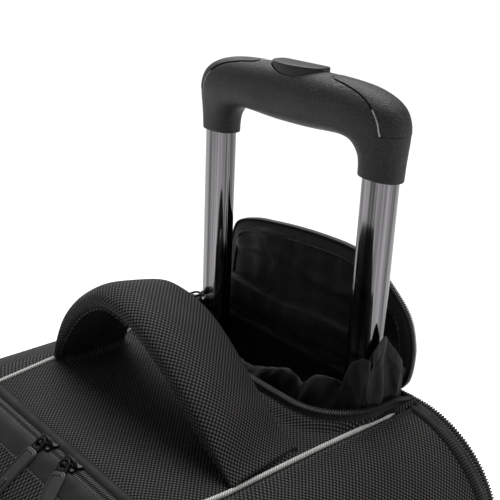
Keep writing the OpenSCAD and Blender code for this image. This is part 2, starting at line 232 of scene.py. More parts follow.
def edit(obj, doubles=False, normals=False, loose=False):
    """Cleans a mesh: merges doubled points, turns faces outward, drops loose points."""
    data = obj.data if hasattr(obj, "data") else obj
    bm = bmesh.new()
    bm.from_mesh(data)
    if loose:
        bmesh.ops.delete(bm, geom=[v for v in bm.verts if not v.link_faces], context="VERTS")
    if doubles:
        bmesh.ops.remove_doubles(bm, verts=bm.verts, dist=1e-6)
    if normals:
        bmesh.ops.recalc_face_normals(bm, faces=bm.faces)
    bm.to_mesh(data)
    bm.free()


def mesh_object(name, verts, faces, material, corners=None, flat=False):
    """verts in mm; corners is one UV pair in mm per face corner."""
    mesh = bpy.data.meshes.new(name)
    mesh.from_pydata((np.asarray(verts, float) * MM).tolist(), [], [list(map(int, f)) for f in faces])
    if corners is not None:
        layer = mesh.uv_layers.new(name="cloth")
        layer.data.foreach_set("uv", np.asarray(corners, np.float32).ravel())
    mesh.validate()
    mesh.update()
    if not flat:
        mesh.shade_smooth()
    return add_object(name, mesh, material)


def cloth_uv(P, wrap_u, wrap_v):
    """Distances along the surface's two directions, so that a weave keeps its scale."""
    q = np.concatenate([P, P[:1]], 0) if wrap_u else P
    q = np.concatenate([q, q[:, :1]], 1) if wrap_v else q
    u = np.zeros(q.shape[:2])
    v = np.zeros(q.shape[:2])
    u[1:] = np.cumsum(np.linalg.norm(np.diff(q, axis=0), axis=2).mean(1))[:, None]
    v[:, 1:] = np.cumsum(np.linalg.norm(np.diff(q, axis=1), axis=2).mean(0))[None, :]
    return np.stack([u, v], 2)


def front_uv(P):
    """X and Z as the cloth map of a surface that is closed along its rows."""
    return np.r_[P, P[:1]][..., [0, 2]]


def grid(name, P, material, wrap_u=False, wrap_v=False, uv=None, keep=None, thick=0.0, ends=False):
    """A surface through a grid of points (rows, columns, 3)."""
    n, m = P.shape[:2]
    rows = n if wrap_u else n - 1
    cols = m if wrap_v else m - 1
    if uv is None:
        uv = cloth_uv(P, wrap_u, wrap_v)
    i, j = np.meshgrid(np.arange(rows), np.arange(cols), indexing="ij")
    i, j = i.ravel(), j.ravel()
    i2, j2 = (i + 1) % n, (j + 1) % m
    faces = np.stack([i * m + j, i2 * m + j, i2 * m + j2, i * m + j2], 1)
    corners = np.stack([uv[i, j], uv[i + 1, j], uv[i + 1, j + 1], uv[i, j + 1]], 1)
    if keep is not None:
        flat = P.reshape(-1, 3)
        kept = keep(flat[faces].mean(1))
        faces, corners = faces[kept], corners[kept]
    faces = faces.tolist()
    corners = corners.reshape(-1, 2).tolist()
    if ends:
        for row in (0, n - 1):
            ring = [row * m + k for k in range(m)]
            faces.append(ring if row else ring[::-1])
            corners += [list(uv[row, k]) for k in (range(m) if row else range(m - 1, -1, -1))]
    obj = mesh_object(name, P.reshape(-1, 3), faces, material, corners)
    edit(obj, normals=ends, loose=True)
    return thicken(obj, thick) if thick else obj


def thicken(obj, thick):
    solid = obj.modifiers.new("thickness", "SOLIDIFY")
    solid.thickness = thick * MM
    solid.offset = 0
    return settle(obj)


def settle(obj):
    """Applies an object's modifiers to its mesh."""
    bpy.context.view_layer.update()
    done = obj.evaluated_get(bpy.context.evaluated_depsgraph_get())
    mesh = bpy.data.meshes.new_from_object(done)
    old = obj.data
    obj.modifiers.clear()
    obj.data = mesh
    mesh.name = obj.name
    bpy.data.meshes.remove(old)
    return obj


def tube(name, path, radius, material, side=None, sides=10, closed=False, flatness=1.0):
    """A round or oval tube along a path; radius may be one value or one for each point."""
    t = tangents(path, closed)
    a = unit(np.cross(t, side)) if side is not None else unit(np.cross(t, [0.01, 0.02, 1.0]))
    b = unit(np.cross(t, a))
    r = np.broadcast_to(np.asarray(radius, float), len(path))[:, None, None]
    angle = np.linspace(0, 2 * math.pi, sides, endpoint=False)[None, :, None]
    P = path[:, None] + r * (np.cos(angle) * a[:, None] * flatness + np.sin(angle) * b[:, None])
    return grid(name, P, material, wrap_u=closed, wrap_v=True, ends=not closed)


def bead_shape(sides=8):
    """A rounded rod one unit long and one wide, along X."""
    rings = [(-0.5, 0.28), (-0.42, 0.46), (0.42, 0.46), (0.5, 0.28)]
    verts = [(x, r * math.cos(2 * math.pi * k / sides), r * math.sin(2 * math.pi * k / sides))
             for x, r in rings for k in range(sides)]
    faces = [(i * sides + k, i * sides + (k + 1) % sides, (i + 1) * sides + (k + 1) % sides,
              (i + 1) * sides + k) for i in range(3) for k in range(sides)]
    faces += [tuple(range(sides))[::-1], tuple(range(3 * sides, 4 * sides))]
    return np.array(verts), faces


BEAD_VERTS, BEAD_FACES = bead_shape()


def beads(name, places, ahead, up, size, material):
    """Many small rounded rods in one mesh, such as stitches or zip teeth."""
    ahead = unit(ahead)
    side = unit(np.cross(up, ahead))
    top = np.cross(ahead, side)
    axes = np.stack([ahead * size[0], side * size[1], top * size[2]], 1)
    verts = places[:, None] + np.einsum("vk,nkc->nvc", BEAD_VERTS, axes)
    count = len(BEAD_VERTS)
    faces = [[k * count + v for v in f] for k in range(len(places)) for f in BEAD_FACES]
    return mesh_object(name, verts.reshape(-1, 3), faces, material)


def along(path, up, pitch, closed=False):
    """Evenly spaced points on a path, with their directions and the way up at each."""
    p = resample(path, max(int(length_of(path, closed) / pitch), 2), closed)
    up = np.broadcast_to(up, p.shape) if np.ndim(up) == 1 else resample(up, len(p), closed)
    return p, tangents(p, closed), up


def stitches(name, path, up, length=2.6, pitch=3.6, width=0.7, closed=False):
    p, t, up = along(path, up, pitch, closed)
    return beads(name, p, t, up, (length, width, width * 0.8), THREAD)


def zip_chain(name, path, up, rows=((-1.9, 1), (1.9, -1)), pitch=1.75, tooth=3.6):
    """Coil teeth along a path: each row lies beside the path and leans the other way."""
    p, t, up = along(path, up, pitch)
    n = unit(up)
    side = unit(np.cross(n, t))
    parts = []
    for row, (offset, lean) in enumerate(rows):
        parts.append((p + side * offset + t * (pitch / 2 * row), side + t * 0.22 * lean, n))
    places, ahead, ups = (np.vstack([q[k] for q in parts]) for k in range(3))
    return beads(name, places, ahead, ups, (tooth, 1.15, 1.5), COIL)


def plate(name, loops, thick, bevel, matrix, material):
    """A flat piece with rounded edges: loops are outlines in mm, the first outside, the rest holes."""
    curve = bpy.data.curves.new(name, "CURVE")
    curve.dimensions = "2D"
    curve.fill_mode = "BOTH"
    curve.extrude = (thick / 2 - bevel) * MM
    curve.bevel_depth = bevel * MM
    curve.bevel_resolution = 2
    curve.offset = -bevel * MM
    for loop in loops:
        spline = curve.splines.new("POLY")
        spline.points.add(len(loop) - 1)
        for point, (x, y) in zip(spline.points, loop):
            point.co = (x * MM, y * MM, 0, 1)
        spline.use_cyclic_u = True
    holder = link(name, curve)
    bpy.context.view_layer.update()
    mesh = bpy.data.meshes.new_from_object(holder.evaluated_get(bpy.context.evaluated_depsgraph_get()))
    bpy.data.objects.remove(holder)
    bpy.data.curves.remove(curve)
    mesh.transform(matrix)
    mesh.materials.clear()
    edit(mesh, doubles=True)
    obj = add_object(name, mesh, material)
    mesh.shade_smooth()
    mesh.set_sharp_from_angle(angle=math.radians(50))
    return obj


def join(name, *objs):
    """One object from several that share a material set."""
    bm = bmesh.new()
    materials = []
    for obj in objs:
        start = len(bm.faces)
        bm.from_mesh(obj.data)
        bm.faces.ensure_lookup_table()
        for own in obj.data.materials:
            if own not in materials:
                materials.append(own)
        for face in bm.faces[start:]:
            face.material_index = materials.index(obj.data.materials[min(face.material_index,
                                                  len(obj.data.materials) - 1)])
    mesh = bpy.data.meshes.new(name)
    bm.to_mesh(mesh)
    bm.free()
    for obj in objs:
        bpy.data.objects.remove(obj)
    for material in materials:
        mesh.materials.append(material)
    return link(name, mesh)


def cut(obj, tool, operation):
    change = obj.modifiers.new("cut", "BOOLEAN")
    change.object = tool
    change.operation = operation
    change.solver = "EXACT"
    return settle(obj)


def place(x=0.0, y=0.0, z=0.0, rx=0.0, ry=0.0, rz=0.0):
    """A matrix in metres from millimetres and degrees."""
    turn = (Matrix.Rotation(math.radians(rz), 4, "Z") @ Matrix.Rotation(math.radians(ry), 4, "Y")
            @ Matrix.Rotation(math.radians(rx), 4, "X"))
    return Matrix.Translation(Vector((x, y, z)) * MM) @ turn


def put(obj, body, slot, *replaced):
    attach(obj, body)
    if replaced:
        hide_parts(*replaced)
    return obj


# ---------------------------------------------------------------- materials
class Paint:
    """A node material built from short calls."""

    def __init__(self, name, roughness=0.5, metallic=0.0, specular=0.5, sheen=0.0):
        self.material = bpy.data.materials.new(name)
        self.material.use_nodes = True
        self.tree = self.material.node_tree
        self.shader = self.tree.nodes["Principled BSDF"]
        self.fill(self.shader, {"Roughness": roughness, "Metallic": metallic,
                                "Specular IOR Level": specular, "Sheen Weight": sheen,
                                "Sheen Roughness": 0.45, "Coat Roughness": 0.12})

    def fill(self, node, values):
        for key, value in values.items():
            if isinstance(value, bpy.types.NodeSocket):
                self.tree.links.new(value, node.inputs[key])
            else:
                node.inputs[key].default_value = value
        return node

    def node(self, kind, values=None, **settings):
        made = self.tree.nodes.new("ShaderNode" + kind)
        for key, value in settings.items():
            setattr(made, key, value)
        return self.fill(made, values or {})

    def math(self, operation, a, b=0.0):
        return self.node("Math", {0: a, 1: b}, operation=operation).outputs[0]

    def add(self, a, b):
        return self.math("ADD", a, b)

    def mul(self, a, b):
        return self.math("MULTIPLY", a, b)

    def cloth(self):
        """The two distances in mm along the cloth, from its own UV map."""
        uv = self.node("UVMap", uv_map="cloth").outputs[0]
        parts = self.node("SeparateXYZ", {0: uv})
        return uv, parts.outputs[0], parts.outputs[1]

    def place(self, scale=(1, 1, 1)):
        """Object coordinates in mm, scaled per axis."""
        where = self.node("TexCoord").outputs["Object"]
        return self.node("Mapping", {0: where, 3: [1000 * s for s in scale]}).outputs[0]

    def noise(self, vector, scale, detail=3.0, rough=0.55, distortion=0.0):
        return self.node("TexNoise", {"Vector": vector, "Scale": scale, "Detail": detail,
                                      "Roughness": rough, "Distortion": distortion}).outputs[0]

    def remap(self, value, a, b, c=0.0, d=1.0):
        return self.node("MapRange", {0: value, 1: a, 2: b, 3: c, 4: d},
                         interpolation_type="SMOOTHSTEP").outputs[0]

    def mix(self, factor, a, b):
        return self.node("Mix", {0: factor, 6: rgba(a), 7: rgba(b)}, data_type="RGBA").outputs[2]

    def wave(self, value, pitch, shift=0.0):
        return self.math("COSINE", self.add(self.mul(value, 2 * math.pi / pitch), shift))

    def colour(self, value):
        self.fill(self.shader, {"Base Color": value})

    def rough(self, value):
        self.fill(self.shader, {"Roughness": value})

    def bump(self, height, depth, strength=1.0, under=None):
        values = {"Height": height, "Distance": depth * MM, "Strength": strength}
        if under is not None:
            values["Normal"] = under
        made = self.node("Bump", values)
        self.fill(self.shader, {"Normal": made.outputs[0]})
        return made.outputs[0]


def rgba(value):
    return value if isinstance(value, bpy.types.NodeSocket) else (*value, 1.0)


def shade(tone, share):
    return [c * share for c in tone]


def grey(v, warm=0.0):
    return (v * (1 + warm), v, v * (1 - warm * 0.6))


def woven(name, thread, gap_shade, pitch_u, pitch_v, ribs=0.0):
    """Heavy nylon: staggered floats with a rib running along the second direction; the dark gaps between the
    floats are painted shade, and the fibre streaks that brighten the floats are a painted highlight.
    """
    m = Paint(name, roughness=0.62, specular=0.1)
    uv, u, v = m.cloth()
    drift = m.noise(m.place(), 0.05, 2.0)
    staggered = m.mul(m.wave(u, pitch_u), m.wave(v, pitch_v))
    rib = m.wave(u, pitch_u / 2, math.pi)
    float_height = m.add(m.mul(staggered, 1.0 - ribs), m.mul(m.mul(rib, -1.0), ribs))
    height = m.remap(float_height, -0.35, 0.6)
    fibre = m.noise(m.node("Mapping", {0: uv, 3: (7.0, 1.6, 1.0)}).outputs[0], 1.0, 4.0, 0.7)
    lit = m.mix(m.remap(drift, 0.35, 0.65), shade(thread, 0.82), thread)
    # Fibre streaks brighten the floats by half again: a painted highlight.
    lit = m.mix(m.remap(fibre, 0.35, 0.7, 0.0, 0.5), lit, shade(thread, 1.5))
    # The gap colour fills the recesses between the floats as painted shade.
    m.colour(m.mix(height, gap_shade, lit))
    m.rough(m.remap(m.add(fibre, m.mul(height, 0.4)), 0.3, 1.1, 0.72, 0.5))
    m.bump(m.add(height, m.mul(fibre, 0.2)), 0.45)
    return m.material


def plain_nylon(name, tone, specular=0.3, sheen=0.2, fine=0.55, crumple=0.0):
    """Close plain weave, with soft creases when crumple is above 0."""
    m = Paint(name, roughness=0.6, specular=specular, sheen=sheen)
    uv, u, v = m.cloth()
    grain = m.mul(m.wave(u, fine), m.wave(v, fine))
    cloud = m.noise(m.place(), 0.09, 3.0)
    fibre = m.noise(uv, 2.2, 3.0, 0.7)
    base = m.mix(m.remap(cloud, 0.3, 0.7), shade(tone, 0.78), shade(tone, 1.15))
    # The fine weave's recesses are darkened toward 0.4 of the tone as painted shade.
    base = m.mix(m.remap(grain, -0.9, 0.9, 0.45, 0.0), base, shade(tone, 0.4))
    m.colour(m.mix(m.remap(fibre, 0.5, 0.8, 0.0, 0.4), base, shade(tone, 1.7)))
    m.rough(m.remap(cloud, 0.3, 0.7, 0.66, 0.5))
    first = m.bump(m.mul(grain, 0.5), 0.07)
    if crumple:
        fold = m.noise(m.place((1, 1, 0.6)), 0.035, 3.0, 0.5, 0.8)
        crease = m.math("ABSOLUTE", m.math("SUBTRACT", fold, 0.5))
        m.bump(m.remap(crease, 0.0, 0.12, 1.0, 0.0), crumple, 0.8, first)
    return m.material


def ribbed(name, tone, gap_shade, pitch):
    """Grosgrain tape and gusset cloth with a rib across its length."""
    m = Paint(name, roughness=0.6, specular=0.12, sheen=0.04)
    uv, u, _ = m.cloth()
    rib = m.remap(m.wave(u, pitch), -0.6, 0.7)
    thread = m.noise(m.node("Mapping", {0: uv, 3: (1.5, 6.0, 1.0)}).outputs[0], 1.0, 3.0, 0.7)
    # The gap colour in the troughs between the ribs is painted shade.
    m.colour(m.mix(rib, gap_shade, m.mix(m.remap(thread, 0.35, 0.7, 0.0, 0.6), tone, shade(tone, 1.6))))
    m.rough(m.remap(thread, 0.3, 0.7, 0.7, 0.52))
    m.bump(m.add(rib, m.mul(thread, 0.25)), 0.3)
    return m.material


def cord_cloth(name, tone):
    """Woven piping: a fine twisted braid."""
    m = Paint(name, roughness=0.55, specular=0.3, sheen=0.3)
    _, u, v = m.cloth()
    twist = m.wave(m.add(u, m.mul(v, 0.9)), 1.5)
    worn = m.noise(m.place(), 0.25, 3.0)
    # The twist's troughs are darkened to 0.42 of the tone as painted shade.
    m.colour(m.mix(m.remap(twist, -0.8, 0.5), shade(tone, 0.42),
                   m.mix(m.remap(worn, 0.3, 0.7), shade(tone, 0.8), tone)))
    m.bump(twist, 0.2)
    return m.material


def moulded(name, tone, grain=2.2, depth=0.06, roughness=(0.38, 0.55), painted_glints=0.0, specular=0.5):
    """Moulded plastic or rubber with a fine eroded grain, and optional light specks that are painted glints.
    """
    m = Paint(name, roughness=sum(roughness) / 2, specular=specular)
    where = m.place()
    fine = m.noise(where, grain, 4.0, 0.6)
    broad = m.noise(where, 0.06, 3.0)
    base = m.mix(m.remap(broad, 0.3, 0.7), shade(tone, 0.85), shade(tone, 1.12))
    if painted_glints:
        # Light specks on the grain, up to seven times the tone, are painted glints.
        glint_cells = m.node("TexVoronoi", {"Vector": where, "Scale": grain * 0.75}).outputs[0]
        base = m.mix(m.remap(glint_cells, 0.15, 0.4, painted_glints, 0.0), base, [min(c * 7, 1) for c in tone])
    m.colour(base)
    m.rough(m.remap(m.add(m.mul(fine, 0.6), m.mul(broad, 0.4)), 0.3, 0.7, *roughness))
    m.bump(fine, depth)
    return m.material


def metal(name, tone, roughness=0.2, drawn=(1, 1, 0.02), depth=0.01, wear_and_reflection=0.25):
    """Metal with fine lines along the way that it was drawn or turned, darkened by wear; on the dark chrome
    the lines are stretched into broad dark bands that are painted reflections.
    """
    m = Paint(name, roughness=roughness, metallic=1.0)
    lines = m.noise(m.place(drawn), 3.0, 3.0, 0.7)
    haze = m.noise(m.place(), 0.05, 3.0)
    m.colour(m.mix(m.remap(lines, 0.3, 0.7), shade(tone, 1 - wear_and_reflection), tone))
    m.rough(m.remap(m.add(m.mul(lines, 0.5), m.mul(haze, 0.5)),
                    0.35, 0.65, roughness * 0.75, roughness * 1.35))
    m.bump(lines, depth, 0.5)
    return m.material


BALLISTIC = woven("ballistic_weave", grey(0.055, 0.05), grey(0.0004), 2.6, 2.45)
RIBBED_TOP = woven("ribbed_weave", grey(0.055, 0.04), grey(0.0005), 2.6, 2.4, ribs=0.2)
MESH_FACE = woven("open_mesh_weave", grey(0.042), grey(0.0004), 2.6, 2.35)
BAND = plain_nylon("smooth_band", grey(0.011, 0.04), specular=0.14, sheen=0.02)
LINING = plain_nylon("lining_nylon", grey(0.008), specular=0.25, sheen=0.02, fine=0.4, crumple=1.0)
FLAP_LINING = plain_nylon("flap_lining_nylon", grey(0.005), specular=0.2, sheen=0.01, fine=0.4,
                          crumple=0.6)
TAPE = ribbed("zip_tape", grey(0.008), grey(0.002), 0.9)
GUSSET = ribbed("ribbed_gusset", grey(0.02), grey(0.003), 1.5)
PIPING = cord_cloth("piping_cord", (0.62, 0.62, 0.6))
THREAD = cord_cloth("sewing_thread", grey(0.022))
COIL = moulded("zip_coil", grey(0.01), grain=3.0, depth=0.02, roughness=(0.4, 0.52), specular=0.35)
SLIDER = metal("painted_zip_metal", grey(0.022), 0.42, (1, 1, 1), 0.03)
RUBBER = moulded("rubber_pull", grey(0.011), grain=2.6, depth=0.05, roughness=(0.42, 0.56))
# The grip's light specks are painted glints.
GRIP = moulded("grip_plastic", grey(0.007), grain=1.3, depth=0.5, roughness=(0.36, 0.6), painted_glints=0.7,
               specular=0.32)
GLOSS = moulded("polished_plastic", grey(0.012), grain=4.0, depth=0.008, roughness=(0.16, 0.26))
BUTTON = moulded("button_plastic", grey(0.012), grain=2.2, depth=0.05, roughness=(0.32, 0.46), specular=0.3)
INSERT = moulded("insert_grey", grey(0.36), grain=3.0, depth=0.02, roughness=(0.3, 0.45))
BLACK = moulded("black_plastic", grey(0.012), grain=1.8, depth=0.08, roughness=(0.42, 0.6))
WHITE = moulded("white_plastic", grey(0.6), grain=2.0, depth=0.02, roughness=(0.35, 0.5))
TYRE = moulded("tyre", grey(0.02), grain=1.2, depth=0.1, roughness=(0.55, 0.75), specular=0.3)
BOARD = moulded("frame_board", grey(0.05), grain=0.9, depth=0.05, roughness=(0.6, 0.8), specular=0.2)
# The chrome's broad vertical dark bands, at 0.2 of the tone, are painted reflections, not wear.
CHROME = metal("dark_chrome", (0.3, 0.29, 0.3), 0.1, (0.11, 0.11, 0.0008), 0.02, 0.8)
MILL = metal("mill_aluminium", (0.45, 0.46, 0.48), 0.3, (1, 1, 0.02), 0.02)
STEEL = metal("bright_steel", (0.5, 0.5, 0.52), 0.22, (1, 1, 1), 0.01)

CAD_LOOKS = (
    (BOARD, "frame_board"),
    (MILL, "outer_tubes middle_tubes"),
    (CHROME, "upper_tubes"),
    (TYRE, "tyre_left tyre_right"),
    (WHITE, "tube_guides"),
    (BLACK, "tube_bezel bottom_bracket wheel_housing_left wheel_housing_right front_feet hub_left"
            " hub_right middle_collars"),
    (STEEL, "axle_left axle_right housing_screws bearings_left bearings_right grip_screws button_spring"
            " release_bar lock_pins"),
)
for look, nodes in CAD_LOOKS:
    for node in nodes.split():
        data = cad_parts[node].data
        data.materials.clear()
        data.materials.append(look)


# ---------------------------------------------------------------- camera, light and floor
def make_camera():
    """The photograph's view: from the right front and above, a little rolled."""
    data = bpy.data.cameras.new("camera")
    data.sensor_width = 36.0
    data.lens = 64.416
    data.clip_start = 0.01
    obj = link("camera", data)
    right = Vector((0.6567, 0.7531, 0.0404)).normalized()
    back = Vector((0.6958, -0.6256, 0.3528)).normalized()
    up = back.cross(right).normalized()
    right = up.cross(back)
    turn = Matrix((right, up, back)).transposed().to_4x4()
    obj.matrix_world = Matrix.Translation(Vector((361.13, -273.64, 742.58)) * MM) @ turn
    bpy.context.scene.camera = obj


def area_light(name, where, aim, size, power):
    data = bpy.data.lights.new(name, "AREA")
    data.shape = "RECTANGLE"
    data.size, data.size_y = size
    data.energy = power
    obj = link(name, data)
    obj.location = where
    obj.rotation_euler = (Vector(aim) - Vector(where)).to_track_quat("-Z", "Y").to_euler()


def make_stage():
    floor = bpy.data.materials.new("pale_floor")
    floor.use_nodes = True
    shader = floor.node_tree.nodes["Principled BSDF"]
    grain = floor.node_tree.nodes.new("ShaderNodeTexNoise")
    grain.inputs["Scale"].default_value = 3.0
    ramp = floor.node_tree.nodes.new("ShaderNodeMapRange")
    ramp.inputs[3].default_value = 0.5
    ramp.inputs[4].default_value = 0.6
    floor.node_tree.links.new(grain.outputs[0], ramp.inputs[0])
    floor.node_tree.links.new(ramp.outputs[0], shader.inputs["Roughness"])
    shader.inputs["Base Color"].default_value = (0.88, 0.88, 0.88, 1)
    size = 30000
    plane = mesh_object("floor", [[-size, -size, 0], [size, -size, 0], [size, size, 0], [-size, size, 0]],
                        [[0, 1, 2, 3]], floor, flat=True)
    world = bpy.data.worlds.new("studio")
    bpy.context.scene.world = world
    world.use_nodes = True
    world.node_tree.nodes["Background"].inputs[0].default_value = (1, 1, 1, 1)
    world.node_tree.nodes["Background"].inputs[1].default_value = 0.37
    data = bpy.data.lights.new("overhead", "SUN")
    data.energy = 3.1
    data.angle = math.radians(38)
    sun = link("overhead", data)
    sun.rotation_euler = Vector((0.25, -0.3, -1)).to_track_quat("-Z", "Y").to_euler()
    area_light("key", (-1.1, 0.5, 1.9), (0, 0, 0.5), (1.0, 1.0), 16)
    area_light("strip", (1.3, 0.9, 1.1), (0, 0.08, 0.55), (0.2, 1.4), 5)
    bpy.context.scene.view_settings.view_transform = "Standard"


make_camera()
make_stage()


# ---------------------------------------------------------------- the bag's skins
def sew(name, body, path, up, length, pitch, width, closed=False):
    put(stitches(name, path, up, length, pitch, width, closed), body, "smooth_fabric")


def outside_bays(c):
    """False for cells inside the two spaces that the wheels stand in."""
    return ~((np.abs(c[:, 0]) > BAY_X) & (c[:, 1] > BAY_Y) & (c[:, 2] < BAY_Z))


def skin(obj, body, slot, held, *replaced):
    put(obj, body, slot, *replaced)


def cloth_sheet(name, P, material, thick=1.2, **options):
    """A sheet with a little thickness, which remembers its one-sided area."""
    obj = grid(name, P, material, **options)
    area = sum(f.area for f in obj.data.polygons)
    thicken(obj, thick)
    obj["cloth_area"] = area
    return obj


def make_top():
    n = 181
    inner = pocket_path(4.5, n)
    left = np.c_[-piping_x(np.linspace(REAR_Y, WELT_Y, 60)), np.linspace(REAR_Y, WELT_Y, 60)]
    front = np.c_[np.linspace(left[-1, 0], -left[-1, 0], 62)[1:-1], np.full(60, WELT_Y)]
    outer = np.vstack([left, front, (left * [-1, 1])[::-1]])
    outer = resample(outer, n)
    _, plan = spread(inner, outer, 41)
    x, y = plan[..., 0], plan[..., 1]
    z = top_height(x, y)
    away = np.linalg.norm(plan - inner[:, None], axis=2)
    z = z + 3.5 * smooth(1 - away / 9)
    edge = np.linalg.norm(plan - outer[:, None], axis=2)
    z = z - 1.2 * smooth(1 - edge / 6)
    under_handle = np.exp(-((np.abs(x) - 74) / 16) ** 2 - ((y + 6) / 26) ** 2)
    P = np.stack([x, y, z], 2)
    z += 0.9 * ripple(P, 95, 3) * smooth(edge / 25) * smooth(away / 14) - 1.5 * under_handle
    P[..., 2] = z
    obj = cloth_sheet("top_skin", P, RIBBED_TOP, uv=plan)
    skin(obj, "bag", "ballistic_fabric", "stretched", "top_panel")


def side_profile(y):
    """Half section from the piping over the upper corner and down the side to the base."""
    rear = smooth((y - WELT_Y) / (REAR_Y - WELT_Y))
    x0 = piping_x(y)
    z0 = top_height(x0, y) - 1.0
    crown = 0.8 * rear
    r = CORNER_R + (REAR_CORNER_R - CORNER_R) * rear
    cx, cz = HALF_W - r, TOP_Z - r
    upper = arc(cx, cz, r, 82, 0, 26)
    lift = np.sin(np.linspace(0, 1, 26) * math.pi) * crown
    upper = upper + unit(upper - [cx, cz]) * lift[:, None]
    drop = 4.5 * (1 - rear) * np.cos(np.linspace(0, 1, 26) * math.pi / 2)
    upper = upper - np.c_[drop * 0.5, drop]
    start = catmull([[x0, z0], [(x0 + upper[0, 0]) / 2, (z0 + upper[0, 1]) / 2 + 0.8], upper[0]], 3)
    side = np.c_[np.full(44, HALF_W), np.linspace(cz, BAY_Z, 45)[1:]]
    lower = np.c_[np.full(8, HALF_W), np.linspace(BAY_Z, BASE_Z + LOWER_R, 9)[1:]]
    foot = arc(HALF_W - LOWER_R, BASE_Z + LOWER_R, LOWER_R, 0, -90, 12)[1:]
    return np.vstack([start[:-1], upper, side, lower, foot])


def make_sides():
    ys = np.r_[np.linspace(WELT_Y, BAY_Y, 60), np.linspace(BAY_Y, REAR_Y, 24)[1:]]
    for name, s in (("left", -1), ("right", 1)):
        half = np.stack([side_profile(y) for y in ys])
        P = np.stack([s * half[..., 0], np.broadcast_to(ys[:, None], half.shape[:2]), half[..., 1]], 2)
        depth = np.sin(np.clip((P[..., 1] - WELT_Y) / (REAR_Y - WELT_Y), 0, 1) * math.pi) ** 0.7
        tall = np.sin(np.clip((P[..., 2] - BASE_Z) / (TOP_Z - 20 - BASE_Z), 0, 1) * math.pi) ** 0.6
        swell = 5.5 * depth * tall + 1.3 * ripple(P, 130, 11 + s) * depth * tall
        P[..., 0] += s * swell
        uv = cloth_uv(P, False, False)[..., ::-1]
        obj = cloth_sheet("side_skin_" + name, P, BALLISTIC, uv=uv, keep=outside_bays)
        skin(obj, "bag", "ballistic_fabric", "stretched", "side_panel_" + name)


def make_base():
    xs = np.r_[np.linspace(-HALF_W + LOWER_R, -BAY_X, 6), np.linspace(-BAY_X, BAY_X, 40)[1:],
               np.linspace(BAY_X, HALF_W - LOWER_R, 6)[1:]]
    ys = np.r_[np.linspace(WELT_Y, BAY_Y, 30), np.linspace(BAY_Y, REAR_Y, 12)[1:]]
    x, y = np.meshgrid(xs, ys, indexing="ij")
    sag = 1.2 * np.cos(np.clip(x / 130, -1, 1) * math.pi / 2)
    P = np.stack([x, y, BASE_Z - sag + 0.4 * ripple(np.stack([x, y, x * 0], 2), 80, 5)], 2)
    obj = cloth_sheet("base_skin", P, BALLISTIC, keep=outside_bays)
    skin(obj, "bag", "ballistic_fabric", "stretched", "base_panel")


def make_bays():
    """Moulded liners round the wheel housings, which close the skins' cut corners."""
    for name, s in (("left", -1), ("right", 1)):
        walls = catmull([[BAY_X, BASE_Z], [BAY_X, 40], [BAY_X, 70], [BAY_X + 1, 82], [BAY_X + 6, 87],
                         [BAY_X + 14, 88], [130, 88], [HALF_W + 1, 88]], 5)
        ys = np.linspace(BAY_Y, REAR_Y + 3, 14)
        roof = np.stack([at_y(walls * [s, 1], y) for y in ys])
        shell = grid("wheel_bay_roof", roof, BLACK, thick=1.6)
        _, face = spread(walls, np.c_[walls[:, 0], np.full(len(walls), BASE_Z)], 10)
        front = np.stack([s * face[..., 0], np.full(face.shape[:2], BAY_Y), face[..., 1]], 2)
        wall = grid("wheel_bay_front", front, BLACK, thick=1.6)
        put(join("wheel_bay_" + name, shell, wall), "bag", "black_plastic")


def loop_band(name, stations, material, keep=None, n=300, corner=CORNER_R):
    """A band round the whole bag through (inset, y) stations."""
    rows = np.stack([ring_path(inset, y, n, corner) for inset, y in stations], 1)
    return grid(name, rows, material, wrap_u=True, keep=keep)


def make_welts():
    """The padded bands beside the two zips."""
    bulge = [(1.5, -74), (-0.6, -74.6), (-1.8, -76), (-2.2, -77.7), (-1.6, -79.6), (-0.2, -81),
             (1.6, -81.6), (4, -81.4)]
    stations = catmull(bulge, 3)
    obj = loop_band("front_welt_band", stations, BAND)
    put(obj, "bag", "smooth_fabric", "front_welt")
    rear = catmull([(2, 99), (-0.6, 100), (-1.6, 102), (-1.4, 104), (0.6, 106), (3.5, 107)], 3)
    obj = loop_band("rear_welt_band", rear, BAND, keep=outside_bays, corner=REAR_CORNER_R)
    put(obj, "bag", "smooth_fabric", "rear_welt")
    for name, s in (("left", -1), ("right", 1)):
        run = outline(-0.3, 400, REAR_CORNER_R)
        side = run[(run[:, 1] > 380) & (s * run[:, 0] > 84)]
        side = side[np.argsort(-side[:, 1])]
        path = resample(at_y(side, np.linspace(97.5, 98.8, len(side))), 60)
        radius = 0.4 + 3.2 * np.sin(np.linspace(0.12, 1, 60) * math.pi) ** 0.6
        fold = tube("side_gusset_fold_" + name, path, radius, GUSSET, side=Y, sides=14)
        put(fold, "bag", "ballistic_fabric")


def make_piping():
    ys = np.linspace(WELT_Y - 2, 84, 90)
    for name, s in (("left", -1), ("right", 1)):
        x = piping_x(ys)
        path = np.c_[s * x, ys, top_height(x, ys) + 0.7]
        path = catmull(resample(path, 24), 6)
        radius = np.full(len(path), 1.3)
        radius[-5:] = np.linspace(1.2, 0.4, 5)
        obj = tube("piping_cord_" + name, path, radius, PIPING, sides=12)
        put(obj, "bag", "piping", "piping_" + name)
        flange = np.stack([path + [0, 0, -0.9], path + [s * 3.2, 0, -1.6]], 1)
        seam = grid("piping_flange_" + name, flange, BAND, thick=0.7)
        put(seam, "bag", "smooth_fabric")
        sew("piping_stitches_" + name, "bag", path[:-6] + [s * 3.6, 0, -0.7], Z, 2.2, 3.2, 0.55)


def outward(path, closed=True, centre=None):
    """Directions away from the bag's middle, square to the path."""
    n = np.cross(tangents(path, closed), Y)
    centre = path.mean(0) if centre is None else centre
    n *= np.sign((n * (path - centre)).sum(1, keepdims=True))
    return unit(n)


